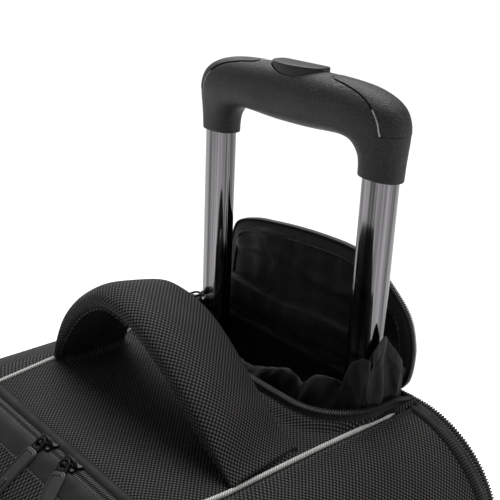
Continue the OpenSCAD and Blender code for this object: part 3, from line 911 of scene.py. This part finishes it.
def make_main_zip():
    """Two rows of coil on their tapes, closed, one on the bag and one on the lid."""
    path = ring_path(0.4, ZIP_Y)
    n = outward(path)
    above = path[:, 2] > ZIP_END_Z
    start = int(np.argmax(~above))
    keep = np.roll(np.arange(len(path)), -start)[np.roll(above, -start)]
    path, n = path[keep], n[keep]
    for body, shift, lean in (("bag", 2.0, 1), ("lid", -2.0, -1)):
        line = path + [0, shift, 0]
        coil = zip_chain("main_coil_" + body, line, n, rows=((0, lean),), pitch=1.4, tooth=4.3)
        cord = tube("main_coil_core_" + body, line - n * 0.5, 0.75, COIL, side=Y, sides=8)
        seam = line + [0, shift * 0.95, 0] - n * 0.25
        sew("main_tape_stitches_" + body, body, seam, n, 1.5, 2.3, 0.5)
        tape = np.stack([path + [0, shift * across, 0] - n * deep for across, deep in
                         ((0, 1.1), (1.2, 0.9), (2.4, 0.7), (3.6, 2.2))], 1)
        band = grid("main_zip_tape_" + body, tape, TAPE, thick=0.6)
        put(band, body, "zip_coil", "main_zip_%s_half" % body)
        put(coil, body, "zip_coil")
        put(cord, body, "zip_coil")


def make_lid():
    n = 320
    band = catmull([(2.5, -87), (-0.2, -87.4), (-0.8, -89), (0.4, -92), (2.8, -95.6), (4.6, -98),
                    (5.6, -98.6)], 3)
    strip = loop_band("lid_band", band, BAND, n=n)
    put(strip, "lid", "smooth_fabric", "lid_gusset")
    rings = catmull([(5.2, -98.2), (7.2, -101), (10.8, -106.5), (15, -112), (20, -117), (26, -120.4)], 4)
    rows = [ring_path(i, y, n) for i, y in rings]
    P = np.stack(rows + inner_rings(rows[-1], 26, 3.4), 1)
    P[..., 1] += 0.7 * ripple(P, 110, 21)
    uv = front_uv(P)
    P[:, -1] = P[:, -1].mean(0)
    obj = cloth_sheet("lid_skin", P, MESH_FACE, wrap_u=True, uv=uv)
    skin(obj, "lid", "ballistic_fabric", "stretched", "lid_front")
    seam = ring_path(5.6, -98.9, 500)
    n_seam = outward(seam)
    sew("lid_seam_stitches", "lid", seam + n_seam * 0.5, n_seam, 2.2, 3.2, 0.5, closed=True)
    inner = outline(9, n)
    t, face = spread(inner, inner.mean(0), 24)
    y = np.full(face.shape[:2], -87.4)
    lining = np.stack([face[..., 0], y, face[..., 1]], 2)
    lining[..., 1] += 0.5 * ripple(lining, 70, 31) * t[..., 0]
    lining[:, -1] = lining[:, -1].mean(0)
    obj = cloth_sheet("lid_lining", lining, LINING, wrap_u=True, thick=0.8)
    skin(obj, "lid", "lining", "stretched", "lid_panel")


def rounded_box(half, z0, z1, r, n=200):
    return resample(rounded(half, z0, z1, r), n, closed=True)


def make_front_pocket():
    """A bellows pocket on the lid's face with its zip along the top."""
    zip_low, zip_high = low("front_pocket_zip"), high("front_pocket_zip")
    z = (zip_low[2] + zip_high[2]) / 2
    half = zip_high[0]
    y = -124.6
    path = np.linspace([-half, y, z], [half, y, z], 200)
    coil = zip_chain("front_pocket_coil", path, -Y)
    put(coil, "lid", "zip_coil", "front_pocket_zip")
    tape = np.stack([path + [0, deep, up] for deep, up in
                     ((1.3, 6), (0.8, 3.5), (0.7, 0), (0.8, -3.5), (1.3, -6))], 1)
    put(grid("front_pocket_tape", tape, TAPE, thick=0.6), "lid", "zip_coil")
    rim = rounded_box(half + 8, 66, z - 6, 26, 220)
    t, face = spread(rim, rim.mean(0), 27)
    t = t[..., 0]
    depth = np.full(face.shape[:2], -122.6) - 3.0 * np.sqrt(np.minimum(t * 6, 1)) - 0.6 * t
    P = np.stack([face[..., 0], depth, face[..., 1]], 2)
    P[..., 1] += 0.5 * ripple(P, 90, 41) * t
    P[:, -1] = P[:, -1].mean(0)
    uv = front_uv(P)
    obj = cloth_sheet("front_pocket_face", P, BALLISTIC, wrap_u=True, uv=uv)
    skin(obj, "lid", "ballistic_fabric", "stretched")
    binding = tube("front_pocket_binding", at_y(rim, -123.4), 1.5, BAND, side=Y, closed=True)
    put(binding, "lid", "smooth_fabric")
    line = at_y(rounded_box(half + 3, 71, z - 11, 22, 300), -126.0)
    sew("front_pocket_stitches", "lid", line, -Y, 2.4, 3.6, 0.6, closed=True)
    hood = np.linspace([-half - 4, y + 0.4, z + 7.5], [half + 4, y + 0.4, z + 7.5], 60)
    put(tube("front_zip_hood", hood, 2.4, BAND, side=Y, flatness=0.6), "lid", "smooth_fabric")


def simulate(obj, cap, fixed, frames=20, pressure=4.0):
    """Puffs a closed piece with cloth and air; fixed is the share by which each point is held."""
    scene = bpy.context.scene
    rest = np.array([v.co for v in obj.data.vertices])
    group = obj.vertex_groups.new(name="held")
    for k, weight in enumerate(fixed):
        if weight > 0.01:
            group.add([k], float(weight), "REPLACE")
    cloth = obj.modifiers.new("cloth", "CLOTH")
    for key, value in (("quality", 4), ("mass", 0.2), ("use_pressure", True),
                       ("uniform_pressure_force", pressure), ("vertex_group_mass", "held"),
                       ("tension_stiffness", 8), ("compression_stiffness", 8),
                       ("bending_stiffness", 0.4)):
        setattr(cloth.settings, key, value)
    cloth.settings.effector_weights.gravity = 0.0
    cloth.collision_settings.use_collision = False
    cloth.point_cache.frame_start = 1
    cloth.point_cache.frame_end = frames
    for step in range(1, frames + 1):
        scene.frame_set(step)
    settle(obj)
    scene.frame_set(1)
    puffed = np.array([v.co for v in obj.data.vertices])
    move = puffed - rest
    size = np.linalg.norm(move, axis=1, keepdims=True)
    move *= np.minimum(1, cap * MM / np.maximum(size, 1e-9))
    obj.data.vertices.foreach_set("co", (rest + move).ravel())
    obj.data.update()
    return obj


# ---------------------------------------------------------------- padded back
CHANNEL_X = [-84, -28, 28, 84]
CHANNEL_LOW, CHANNEL_HIGH = 70, 430


def make_back():
    """A quilted panel, puffed by simulation between its sewn channels, with a bound edge."""
    n = 260
    front = [(5.2, BACK_Y), (5.0, BACK_Y + 2.5), (6.6, BACK_Y + 5), (9.5, BACK_Y + 8),
             (13.5, BACK_END_Y - 4), (18, BACK_END_Y - 2.5), (25, BACK_END_Y - 1.5)]
    rows = [ring_path(i, y, n, REAR_CORNER_R) for i, y in catmull(front, 3)]
    P = np.stack(rows + inner_rings(rows[-1], 44), 1)
    x, z = P[..., 0], P[..., 2]
    groove = np.zeros(x.shape)
    for c in CHANNEL_X:
        groove = np.maximum(groove, np.exp(-((x - c) / 4.0) ** 2) * (z < CHANNEL_HIGH) * (z > CHANNEL_LOW))
    inside = smooth((np.arange(P.shape[1]) - 16) / 4)[None]
    P[..., 1] += inside * (1.6 - 4.0 * groove)
    P[:, -1] = P[:, -1].mean(0)
    uv = front_uv(P)
    obj = grid("padded_back", P, MESH_FACE, wrap_u=True, uv=uv, keep=outside_bays)
    edit(obj, normals=True)
    co = np.array([v.co for v in obj.data.vertices]) / MM
    near = np.zeros(len(co))
    for c in CHANNEL_X:
        near = np.maximum(near, (np.abs(co[:, 0] - c) < 4.5) & (co[:, 2] < CHANNEL_HIGH + 2)
                          & (co[:, 2] > CHANNEL_LOW - 2))
    held = np.maximum(near, co[:, 1] < BACK_END_Y - 3.0)
    simulate(obj, 4.5, held, pressure=3.0)
    put(obj, "bag", "ballistic_fabric", "back_panel")
    for k, c in enumerate(CHANNEL_X):
        foot = np.array([c, BACK_END_Y - 3.2, CHANNEL_LOW + 2])
        line = np.linspace(foot, foot + Z * (CHANNEL_HIGH - CHANNEL_LOW - 4), 120)
        sew("back_channel_stitches_%d" % k, "bag", line, Y, 2.6, 3.8, 0.7)
    edge = ring_path(4.6, BACK_Y + 0.5, 420, REAR_CORNER_R)
    edge = edge[outside_bays(edge)]
    first = int(np.argmax(np.linalg.norm(np.diff(edge, axis=0), axis=1)))
    edge = np.roll(edge, -first - 1, 0)
    put(tube("back_binding", edge, 1.7, BAND, side=Y), "bag", "smooth_fabric")


def open_runs(path):
    """A closed path without its stretch through the wheel bays, as one or more open runs."""
    ok = outside_bays(path)
    start = int(np.argmax(ok & ~np.roll(ok, 1)))
    path, ok = np.roll(path, -start, 0), np.roll(ok, -start)
    ends = np.flatnonzero(np.diff(ok.astype(int))) + 1
    runs = zip(np.split(path, ends), np.split(ok, ends))
    return [run for run, good in runs if good[0] and len(run) > 5]


def make_rear_zip():
    path = ring_path(2.4, 109.3, 700, REAR_CORNER_R)
    coils, tapes = [], []
    for run in open_runs(path):
        n = outward(run, False, path.mean(0))
        rows = ((-1.7, 1), (1.7, -1))
        coils.append(zip_chain("rear_coil", run + n * 0.6, n, rows, tooth=3.4))
        tape = np.stack([run + [0, across, 0] - n * deep for across, deep in
                         ((-4.2, 1.4), (-2.5, 0.2), (0, 0), (2.5, 0.2), (3.6, 1.2))], 1)
        tapes.append(grid("rear_tape", tape, TAPE, thick=0.6))
    put(join("rear_zip_coil", *coils), "bag", "zip_coil", "rear_zip")
    put(join("rear_zip_tape", *tapes), "bag", "zip_coil")


# ---------------------------------------------------------------- carry handle
HANDLE_FRONT = [(-87, 476), (-83.5, 490), (-75, 506), (-64, 519.5), (-52, 529.5), (-39, 537), (-25, 540.2),
                (-10, 539), (6, 534.8), (21, 528), (36, 519.8), (48, 512), (59, 503), (69, 494), (78, 485.5),
                (86, 480)]
HANDLE_REAR = [(-85, 476), (-79, 490), (-70, 504.5), (-58, 517), (-45, 526), (-32, 531.2), (-18, 531.5),
               (-6, 529.3), (5, 525.3), (16, 519.2), (27, 511.5), (37, 503.2), (46, 495.5), (55, 488.5),
               (65, 483), (80, 479.5)]
# Half of the section: share of the half width from front to rear, share of the half thickness
HANDLE_SECTION = [(-1.0, -0.2), (-0.97, 0.25), (-0.78, 0.72), (-0.52, 1.0), (-0.2, 1.08), (0.3, 1.05),
                  (0.75, 0.95), (0.94, 0.72), (1.0, 0.2), (1.0, -0.35), (0.94, -0.8), (0.7, -0.98),
                  (0, -1.04), (-0.7, -0.98), (-0.93, -0.8)]


def make_handle():
    rows = 150
    front = at_y(resample(catmull(HANDLE_FRONT), rows), HANDLE_Y0)
    rear = at_y(resample(catmull(HANDLE_REAR), rows), HANDLE_Y1)
    centre = (front + rear) / 2
    across = (rear - front) / 2
    t = tangents(centre)
    n = unit(np.cross(t, across))
    n *= np.sign(n[:, 2].sum())
    s = np.linspace(0, 1, rows)
    thick = 7.4 * (0.45 + 0.55 * smooth(np.minimum(s, 1 - s) / 0.16))
    section = resample(catmull(HANDLE_SECTION, 6, closed=True), 96, closed=True)
    P = (centre[:, None] + across[:, None] * section[None, :, :1]
         + n[:, None] * section[None, :, 1:] * thick[:, None, None])
    P += n[:, None] * (0.5 * ripple(P, 60, 51) * smooth(np.minimum(s, 1 - s) / 0.1)[:, None])[..., None]
    obj = grid("carry_handle_pad", P, BALLISTIC, wrap_v=True, ends=True)
    held = np.repeat((np.minimum(s, 1 - s) < 0.06).astype(float)[:, None], 96, 1)
    held = np.maximum(held, (np.abs(section[:, 0]) > 0.9)[None] * 1.0)
    simulate(obj, 1.6, held.ravel(), pressure=2.0)
    put(obj, "handle", "ballistic_fabric", "carry_handle")
    under = section[np.argmin(np.abs(section[:, 0] + 0.9) + (section[:, 1] > 0) * 9)]
    line = centre + across * under[0] + n * under[1] * thick[:, None] * 1.12
    sew("handle_stitches", "handle", line[6:-6], -n[6:-6], 2.8, 4.0, 0.8)


def make_anchors():
    """The handle's flattened ends, sewn down in front of the piping."""
    parts = []
    centre = (HANDLE_Y0 + HANDLE_Y1) / 2
    for s in (-1, 1):
        t = np.linspace(0, 1, 30)
        u = np.linspace(-1, 1, 44)
        tt, uu = np.meshgrid(t, u, indexing="ij")
        y = centre + uu * (25 - 4 * tt)
        x = s * (72 + (piping_x(y) - 73.0) * tt)
        edge = smooth((1 - np.abs(uu)) / 0.3) * (1 - smooth((tt - 0.6) / 0.4)) * smooth(tt / 0.3)
        z = top_height(x, y) - 0.3 + 2.6 * edge
        P = np.stack([x, y, z], 2)
        pad = grid("handle_end", P, BALLISTIC, uv=np.stack([y, x], 2), thick=0.9)
        line = np.c_[np.full(36, s * (piping_x(centre) - 6)), np.linspace(HANDLE_Y0 + 6, HANDLE_Y1 - 6, 36)]
        line = np.c_[line, top_height(line[:, 0], line[:, 1]) + 2.2]
        parts += [pad, stitches("end_seam", line, Z, 2.6, 3.4, 0.8)]
    obj = join("handle_sewn_ends", *parts)
    put(obj, "bag", "ballistic_fabric", "handle_anchors")


# ---------------------------------------------------------------- trolley pocket
def make_pocket_rim():
    run = pocket_path(0, 300)
    t = tangents(run)
    n = np.c_[t[:, 1], -t[:, 0]]
    n *= np.sign((n * (run - [0, 80])).sum(1, keepdims=True))
    flat = np.c_[n, np.zeros(len(n))]
    base = np.c_[run, LIP_Z - 4.5 * smooth((run[:, 1] - 84) / 20)]
    lip = np.stack([base + flat * out + [0, 0, up] for out, up in
                    ((5.4, -6.6), (4.6, -4.6), (3.3, -3), (2.4, -1.6), (1.8, -0.4), (1.2, 0.2),
                     (0.5, -0.4), (0.2, -3), (0.3, -8))], 1)
    put(grid("pocket_rim_tape", lip, BAND, thick=0.7), "bag", "zip_coil", "pocket_zip_bag_half")
    up = unit(flat * 0.25 + [0, 0, 1.0])
    line = base + flat * 1.3 + [0, 0, 0.6]
    coil = zip_chain("pocket_rim_coil", line, up, rows=((0, 1),), tooth=4.2, pitch=1.4)
    put(coil, "bag", "zip_coil")
    core = tube("pocket_rim_core", base + flat * 1.2 + [0, 0, 0.1], 0.8, COIL, side=Z)
    put(core, "bag", "zip_coil")
    seam = base + flat * 3.9 - [0, 0, 3.0]
    sew("pocket_rim_stitches", "bag", seam, unit(flat + [0, 0, 0.8]), 1.9, 2.9, 0.5)


def make_lining():
    front = pocket_path(-0.8, 170)
    back = np.c_[np.linspace(front[-1, 0], front[0, 0], 52)[1:-1], np.full(50, REAR_Y - 0.6)]
    plan = np.vstack([front, back])
    down = np.linspace(LIP_Z - 3, BEZEL_Z - 5, 44)
    P = np.stack([np.c_[plan, np.full(len(plan), z)] for z in down], 1)
    inward = unit(np.array([0, 74, 0]) - P * [0.35, 1, 0])
    front_share = smooth((66 - P[..., 1]) / 20)
    t = (LIP_Z - P[..., 2]) / (LIP_Z - BEZEL_Z)
    belly = np.sin(np.clip(t, 0, 1) * math.pi) ** 0.8
    folds = 4.5 * (0.6 + 0.5 * ripple(P, 34, 61) + 0.25 * ripple(P, 13, 62)) * front_share
    P += inward * ((folds + 0.8) * belly)[..., None]
    obj = cloth_sheet("pocket_lining_sleeve", P, LINING, wrap_u=True, thick=0.6)
    skin(obj, "bag", "lining", "gathered", "pocket_lining")
    # Loose cloth bunched up in front of the tubes and gathered highest in the right corner
    route = catmull([(-82, 74), (-76, 58), (-60, 50), (-20, 47), (20, 46), (52, 48), (68, 52), (79, 59),
                     (85, 70), (86.5, 84), (86.5, 97)], 30)
    route = resample(route, 230)
    t = tangents(route)
    side = np.c_[-t[:, 1], t[:, 0]]
    v = np.linspace(0, 1, 50)
    share = np.linspace(0, 1, len(route))
    table = catmull([(0, 484), (0.1, 480), (0.25, 478), (0.44, 484), (0.53, 490), (0.59, 494), (0.64, 489),
                     (0.7, 500), (0.745, 499), (0.775, 494), (0.81, 511), (0.86, 520), (0.905, 530),
                     (0.96, 514), (1, 503)], 8)
    crest = np.interp(share, table[:, 0], table[:, 1])
    uu, vv = np.meshgrid(share, v, indexing="ij")
    rise = np.sin(np.clip(vv / 0.8, 0, 1) * math.pi / 2)
    z = LINING_FOOT_Z + rise * (crest[:, None] - LINING_FOOT_Z) - 9 * smooth((vv - 0.8) / 0.2)
    arch = np.stack([uu * 290, uu * 0, z], 2)
    corner = smooth((uu - 0.8) / 0.06)
    lean = 3 + 9 * vv**2 + 3.6 * ripple(arch, 36, 71) + 1.5 * ripple(arch, 15, 72)
    pleat = 2.6 * np.sin(uu * 95 + 2.2 * vv) * (1 - 0.5 * vv) + 1.8 * ripple(arch, 20, 73)
    lean = lean * (1 - corner) + (2.0 + pleat) * corner
    x = route[:, None, 0] + side[:, None, 0] * lean
    y = route[:, None, 1] + side[:, None, 1] * lean
    x = np.where((y > 66) & (uu > 0.6), np.maximum(x, 83.5), x)
    y = np.where(uu > 0.6, y, np.minimum(y, 66.0))
    P = np.stack([np.clip(x, -87, 88.0), y, z], 2)
    obj = cloth_sheet("pocket_lining_folds", P, LINING, thick=0.7)
    skin(obj, "bag", "lining", "gathered")


def flap_rim():
    """The flap's outline above its hinge, with the directions out of it."""
    w = FLAP_HALF
    run = catmull([(w - 8, 0), (w - 4, 6), (w - 2.4, 16), (w - 2.8, 28), (w - 8.2, 43), (w - 22, 56),
                   (w - 37, 66), (30, 70), (8, 70.4), (-17, 69), (-40, 66.4), (-56, 64),
                   (-w + 10, 58.5), (-w + 5, 49),
                   (-w + 2.6, 37), (-w + 0.8, 24), (-w, 12), (-w + 1, 0)], 10)
    run = resample(run, 160)
    t = tangents(run)
    return run, np.c_[t[:, 1], -t[:, 0]]


def make_flap():
    rim, out = flap_rim()
    base = np.c_[np.linspace(rim[-1, 0], rim[0, 0], 42)[1:-1], np.zeros(40)]
    loop = np.vstack([rim, base])
    t, plan = spread(loop, [0, 30.0], 30)
    x, z = plan[..., 0], plan[..., 1]
    inside = smooth(t[..., 0] / 0.12)
    wander = 3 * np.sin(x / 31) + 2 * np.sin(x / 13 + 1)
    flat = np.stack([x, x * 0, z], 2)
    folds = (5.5 * smooth((24 - z + 0.4 * wander) / 3.2) * smooth((z + 1) / 5)
             + 2.4 * np.exp(-((z - 46 + wander) / 4.5) ** 2)
             + 1.4 * ripple(flat, 38, 81) + 0.6 * ripple(flat, 15, 82))
    lift = FLAP_Z + 0.5
    front = np.stack([x, FLAP_Y - 2.0 - inside * (folds + 1.0), z + lift], 2)
    obj = cloth_sheet("flap_lining", front, FLAP_LINING, wrap_u=True, thick=0.6)
    skin(obj, "flap", "lining", "hung")
    back = np.stack([x, FLAP_Y + 1.6 + inside * (1.2 + 0.7 * ripple(flat, 55, 83)), z + lift], 2)
    obj = cloth_sheet("flap_outer", back, BALLISTIC, wrap_u=True, uv=front_uv(flat), thick=0.9)
    skin(obj, "flap", "ballistic_fabric", "hung", "pocket_flap")
    across = np.linspace(-1, 1, 90)
    rise = np.linspace(0, 1, 40)
    aa, rr = np.meshgrid(across, rise, indexing="ij")
    side = 81 - 3.5 * np.sin(rr * math.pi)
    P = np.stack([aa * side, aa * 0, 462 + 36 * rr], 2)
    P[..., 1] = FLAP_Y - 5.2 - 2.2 * np.sin(rr * math.pi) - 0.9 * ripple(P, 30, 85) * np.sin(rr * math.pi)
    obj = cloth_sheet("hinge_lining", P, FLAP_LINING, thick=0.5)
    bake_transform(obj)
    path = at_y(rim + [0, lift], FLAP_Y - 0.6)
    n = at_y(out, 0.0)
    tape = np.stack([path - n * inset + [0, back, 0] for inset, back in
                     ((6.5, -3.4), (4.5, -3.0), (2, -2.4), (-0.5, -1.6), (-1.6, 0), (-0.6, 1.8),
                      (2, 2.8), (5, 3.2))], 1)
    put(grid("flap_binding", tape, BAND, thick=0.7), "flap", "smooth_fabric")
    coil = zip_chain("flap_coil", path + n * 2.5, n, rows=((0, 1),), tooth=4.2, pitch=1.4)
    put(coil, "flap", "zip_coil", "pocket_zip_flap_half")
    core = tube("flap_coil_core", path + n * 2.2, 0.9, COIL, side=Y)
    put(core, "flap", "zip_coil")
    sew("flap_stitches", "flap", path - n * 5.2 - [0, 3.6, 0], -Y, 2.2, 3.4, 0.6)


# ---------------------------------------------------------------- grip
# Outer and inner edge of the grip and half its depth, from a leg's foot to the middle of the bar
GRIP_RUN = [(79.4, 0, 53.0, 0, 8.6), (79.9, 0.7, 52.5, 0.7, 9.0), (80.1, 8, 52.5, 5.5, 9.4),
            (80.4, 16, 52.0, 10, 10.2), (80.6, 23, 50.4, 13.4, 11.3), (79.9, 30, 48.0, 16.0, 12.3),
            (77.3, 36.0, 45.0, 17.5, 12.9), (73.0, 40.3, 41.5, 18.2, 13.2), (66.5, 43.6, 37.5, 18.4, 13.4),
            (58.0, 46.1, 33, 18.2, 13.5), (47.5, 47.6, 27.5, 17.9, 13.6), (34, 48.4, 20, 17.4, 13.6),
            (17, 48.9, 10, 17.0, 13.6), (0, 49.1, 0, 16.9, 13.6)]
CAP_SEAM = [(29.0, 50.4), (30.5, 47.6), (44, 45.6), (56, 42.5), (64, 38.0), (69.2, 32.0), (71.6, 24.6)]
SEAM_GAP = 1.3


def grip_loft(shrink=0.0):
    run = catmull(GRIP_RUN, 9)
    run = np.vstack([run, (run * [-1, 1, -1, 1, 1])[::-1][1:]])
    outer, inner, depth = run[:, :2], run[:, 2:4], run[:, 4:]
    centre, reach = (outer + inner) / 2, (outer - inner) / 2
    size = np.linalg.norm(reach, axis=1, keepdims=True)
    reach = reach * (size - shrink) / size
    angle = np.linspace(0, 2 * math.pi, 72, endpoint=False)
    power = 2 / 2.35
    c = np.sign(np.cos(angle)) * np.abs(np.cos(angle)) ** power
    s = np.sign(np.sin(angle)) * np.abs(np.sin(angle)) ** power
    plane = centre[:, None] + reach[:, None] * c[None, :, None]
    y = TUBE_Y + (depth - shrink) * s[None, :]
    P = np.stack([plane[..., 0], y, plane[..., 1] + GRIP_Z], 2)
    return P


def solid(name, foot, head, material):
    """A closed solid between two outlines with the same number of points."""
    k = len(foot)
    faces = [[i, (i + 1) % k, k + (i + 1) % k, k + i] for i in range(k)]
    faces += [list(range(k))[::-1], list(range(k, 2 * k))]
    obj = mesh_object(name, np.vstack([foot, head]), faces, material, flat=True)
    edit(obj, normals=True)
    return obj


def both_sides(shape):
    """A cutting tool through the grip: an outline in X and Z above its foot, and its mirror."""
    sides = []
    for s in (1, -1):
        run = shape * [s, 1] + [0, GRIP_Z]
        sides.append(solid("tool", at_y(run, TUBE_Y - 20), at_y(run, TUBE_Y + 20), GRIP))
    return join("tool", *sides)


def soften(obj, width, angle=38, segments=2):
    bevel = obj.modifiers.new("bevel", "BEVEL")
    bevel.width = width * MM
    bevel.segments = segments
    bevel.limit_method = "ANGLE"
    bevel.angle_limit = math.radians(angle)
    settle(obj)
    obj.data.shade_smooth()
    obj.data.set_sharp_from_angle(angle=math.radians(42))
    return obj


def half_moon(grow, z0, z1, name):
    """A half oval, bowed toward the front, with a straight back and rounded back corners."""
    half, deep = 20 + grow, 10.2 + grow
    edge = arc(0, 0, 1, 180, 360, 48) * [half, deep]
    edge = np.vstack([edge, arc(half - 4, 2.4 + grow, 4, 0, 90, 7),
                      arc(4 - half, 2.4 + grow, 4, 90, 180, 7)])
    edge = np.c_[edge[:, 0], edge[:, 1] + TUBE_Y + 0.6, np.full(len(edge), GRIP_Z)]
    return solid(name, edge + Z * z0, edge + Z * z1, BUTTON)


def make_grip():
    seam = catmull(CAP_SEAM, 6)
    t = tangents(seam)
    out = np.c_[-t[:, 1], t[:, 0]] * -1
    out *= np.sign((out * (seam - [40, 20])).sum(1, keepdims=True))
    width = SEAM_GAP * (0.55 + 0.45 * np.linspace(0, 1, len(seam)))[:, None]
    lip = seam + out * width
    corner = np.array([[95, 24.9], [95, 62], [lip[0, 0], 62]])

    low_part = seam[:, 1] < 37.5
    strip = np.vstack([(seam + out * 0.12)[low_part], (lip - out * 0.12)[low_part][::-1]])
    outer = np.vstack([seam, corner[:2], [[seam[0, 0], 62]]])
    body = grid("grip_body_shell", grip_loft(), GRIP, wrap_v=True, ends=True)
    caps = grid("grip_cap_shells", grip_loft(-0.25), GRIP, wrap_v=True, ends=True)
    core = grid("grip_seam_core", grip_loft(0.9), GLOSS, wrap_v=True, ends=True)
    inlay = grid("grip_inlay", grip_loft(0.1), INSERT, wrap_v=True, ends=True)
    cuts = ((body, both_sides(outer), "DIFFERENCE"),
            (body, half_moon(0.7, 33.2, 70, "recess"), "DIFFERENCE"),
            (caps, both_sides(np.vstack([lip, corner])), "INTERSECT"),
            (core, both_sides(np.vstack([seam, lip[::-1]])), "INTERSECT"),
            (inlay, both_sides(strip), "INTERSECT"))
    for obj, tool, operation in cuts:
        cut(obj, tool, operation)
        bpy.data.objects.remove(tool)
    soften(body, 0.45)
    soften(caps, 0.4)
    put(body, "upper_stage", "grip_plastic", "grip_body")
    put(caps, "upper_stage", "grip_plastic", "grip_caps")
    put(core, "upper_stage", "button_plastic")
    put(inlay, "upper_stage", "insert_grey", "grip_inserts")
    button = half_moon(0, 36.9, 50.9, "push_button")
    soften(button, 0.7, 30, 3)
    put(button, "button", "button_plastic", "grip_button")


# ---------------------------------------------------------------- sliders and pulls
def slot_outline(half_w, y0, y1, r, n=8):
    """An oblong with rounded corners, long along Y."""
    return rounded(half_w, y0, y1, min(r, half_w, abs(y1 - y0) / 2), n)


def make_slider(name, body, node, matrix):
    """A slider: a waisted body on two wings with a bridge; matrix places it on the zip, X along it."""
    plan = catmull([(-6, 0), (-5.4, 3.0), (-2.5, 4.1), (2.2, 3.2), (5.6, 3.9), (6.4, 2.2), (5.2, 0),
                    (6.4, -2.2), (5.6, -3.9), (2.2, -3.2), (-2.5, -4.1), (-5.4, -3.0)], 5, closed=True)
    top = plate(name + "_wing", [plan], 1.5, 0.4, matrix @ place(0, 0, 1.7), SLIDER)
    foot = plate(name + "_foot", [plan], 1.2, 0.3, matrix @ place(0, 0, -0.6), SLIDER)
    path = catmull([(-4.2, 0, 2.0), (-3.8, 0, 4.0), (-1.5, 0, 4.9), (1.5, 0, 4.9), (3.8, 0, 4.0),
                    (4.2, 0, 2.0)], 6)
    bridge = tube(name + "_bridge", path, 1.0, SLIDER, side=Y, flatness=1.5)
    bridge.data.transform(matrix)
    obj = join(name + "_body", top, foot, bridge)
    return put(obj, body, "zip_metal", node)


def make_pull(name, body, node, matrix, length=37.0, half=4.8):
    """A metal eye on the bridge and a soft tab with a raised rim and a plain bar, pointing to -Y."""
    eye = slot_outline(3.6, -8.5, 3.2, 3.4)
    hole = slot_outline(2.1, -3.2, 1.8, 1.9)
    ring = plate(name + "_eye", [eye, hole], 1.3, 0.35, matrix, SLIDER)
    tab = plate(name + "_tab", [slot_outline(half, -length - 2.5, -4.6, 2.6)], 2.2, 0.7, matrix, RUBBER)
    rim = slot_outline(half - 1.0, -length - 1.2, -6.4, 2.0, 10)
    rim = np.c_[rim, np.full(len(rim), 1.1)]
    rims = []
    for side in (1, -1):
        edge = tube(name + "_rim", rim * [1, 1, side], 0.45, RUBBER, side=Z, closed=True, sides=8)
        edge.data.transform(matrix)
        rims.append(edge)
    bar = plate(name + "_bar", [slot_outline(2.0, -length + 3, -length + 13, 0.8)], 0.7, 0.2,
                matrix @ place(0, 0, 1.25), GLOSS)
    obj = join(name + "_pull", tab, *rims, ring, bar)
    return put(obj, body, "zip_pull", node)


def make_pulls():
    for name, skew in (("left", 0), ("right", 24)):
        node = "main_slider_" + name
        at = middle(node)
        z = low(node)[2]
        make_slider(node, "slider_" + name, node, place(at[0], at[1], z + 0.2))
        make_pull("main_" + name, "pull_" + name, "main_pull_" + name,
                  place(at[0], at[1] - 3.5, z + 3.7) @ place(rx=35) @ place(rz=skew))
    at = middle("front_pocket_slider")
    make_slider("front_slider", "front_slider", "front_pocket_slider",
                place(at[0], -125.2, at[2]) @ place(rx=90))
    at = middle("front_pocket_pull")
    make_pull("front", "front_pull", "front_pocket_pull",
              place(at[0], -130.2, high("front_pocket_pull")[2] - 1) @ place(rx=90), 36, 4.5)
    at = middle("rear_zip_slider")
    make_slider("rear_slider", "rear_slider", "rear_zip_slider",
                place(HALF_W - 1.6, at[1], at[2]) @ place(ry=90))
    make_pull("rear", "rear_pull", "rear_zip_pull",
              place(high("rear_zip_pull")[0] + 0.9, at[1], low("rear_zip_slider")[2] - 0.5)
              @ place(rx=90) @ place(ry=90), 34, 4.2)
    at = middle("pocket_zip_slider")
    make_slider("pocket_slider", "pocket_slider", "pocket_zip_slider",
                place(at[0] + 0.6, at[1], low("pocket_zip_slider")[2] + 0.6) @ place(rz=90))
    at = middle("pocket_zip_pull")
    make_pull("pocket", "pocket_pull", "pocket_zip_pull",
              place(at[0], high("pocket_zip_pull")[1], at[2] + 2.2), 28, 3.2)


make_top()
make_sides()
make_base()
make_bays()
make_welts()
make_piping()
make_main_zip()
make_lid()
make_front_pocket()
make_back()
make_rear_zip()
make_handle()
make_anchors()
make_pocket_rim()
make_lining()
make_flap()
make_grip()
make_pulls()
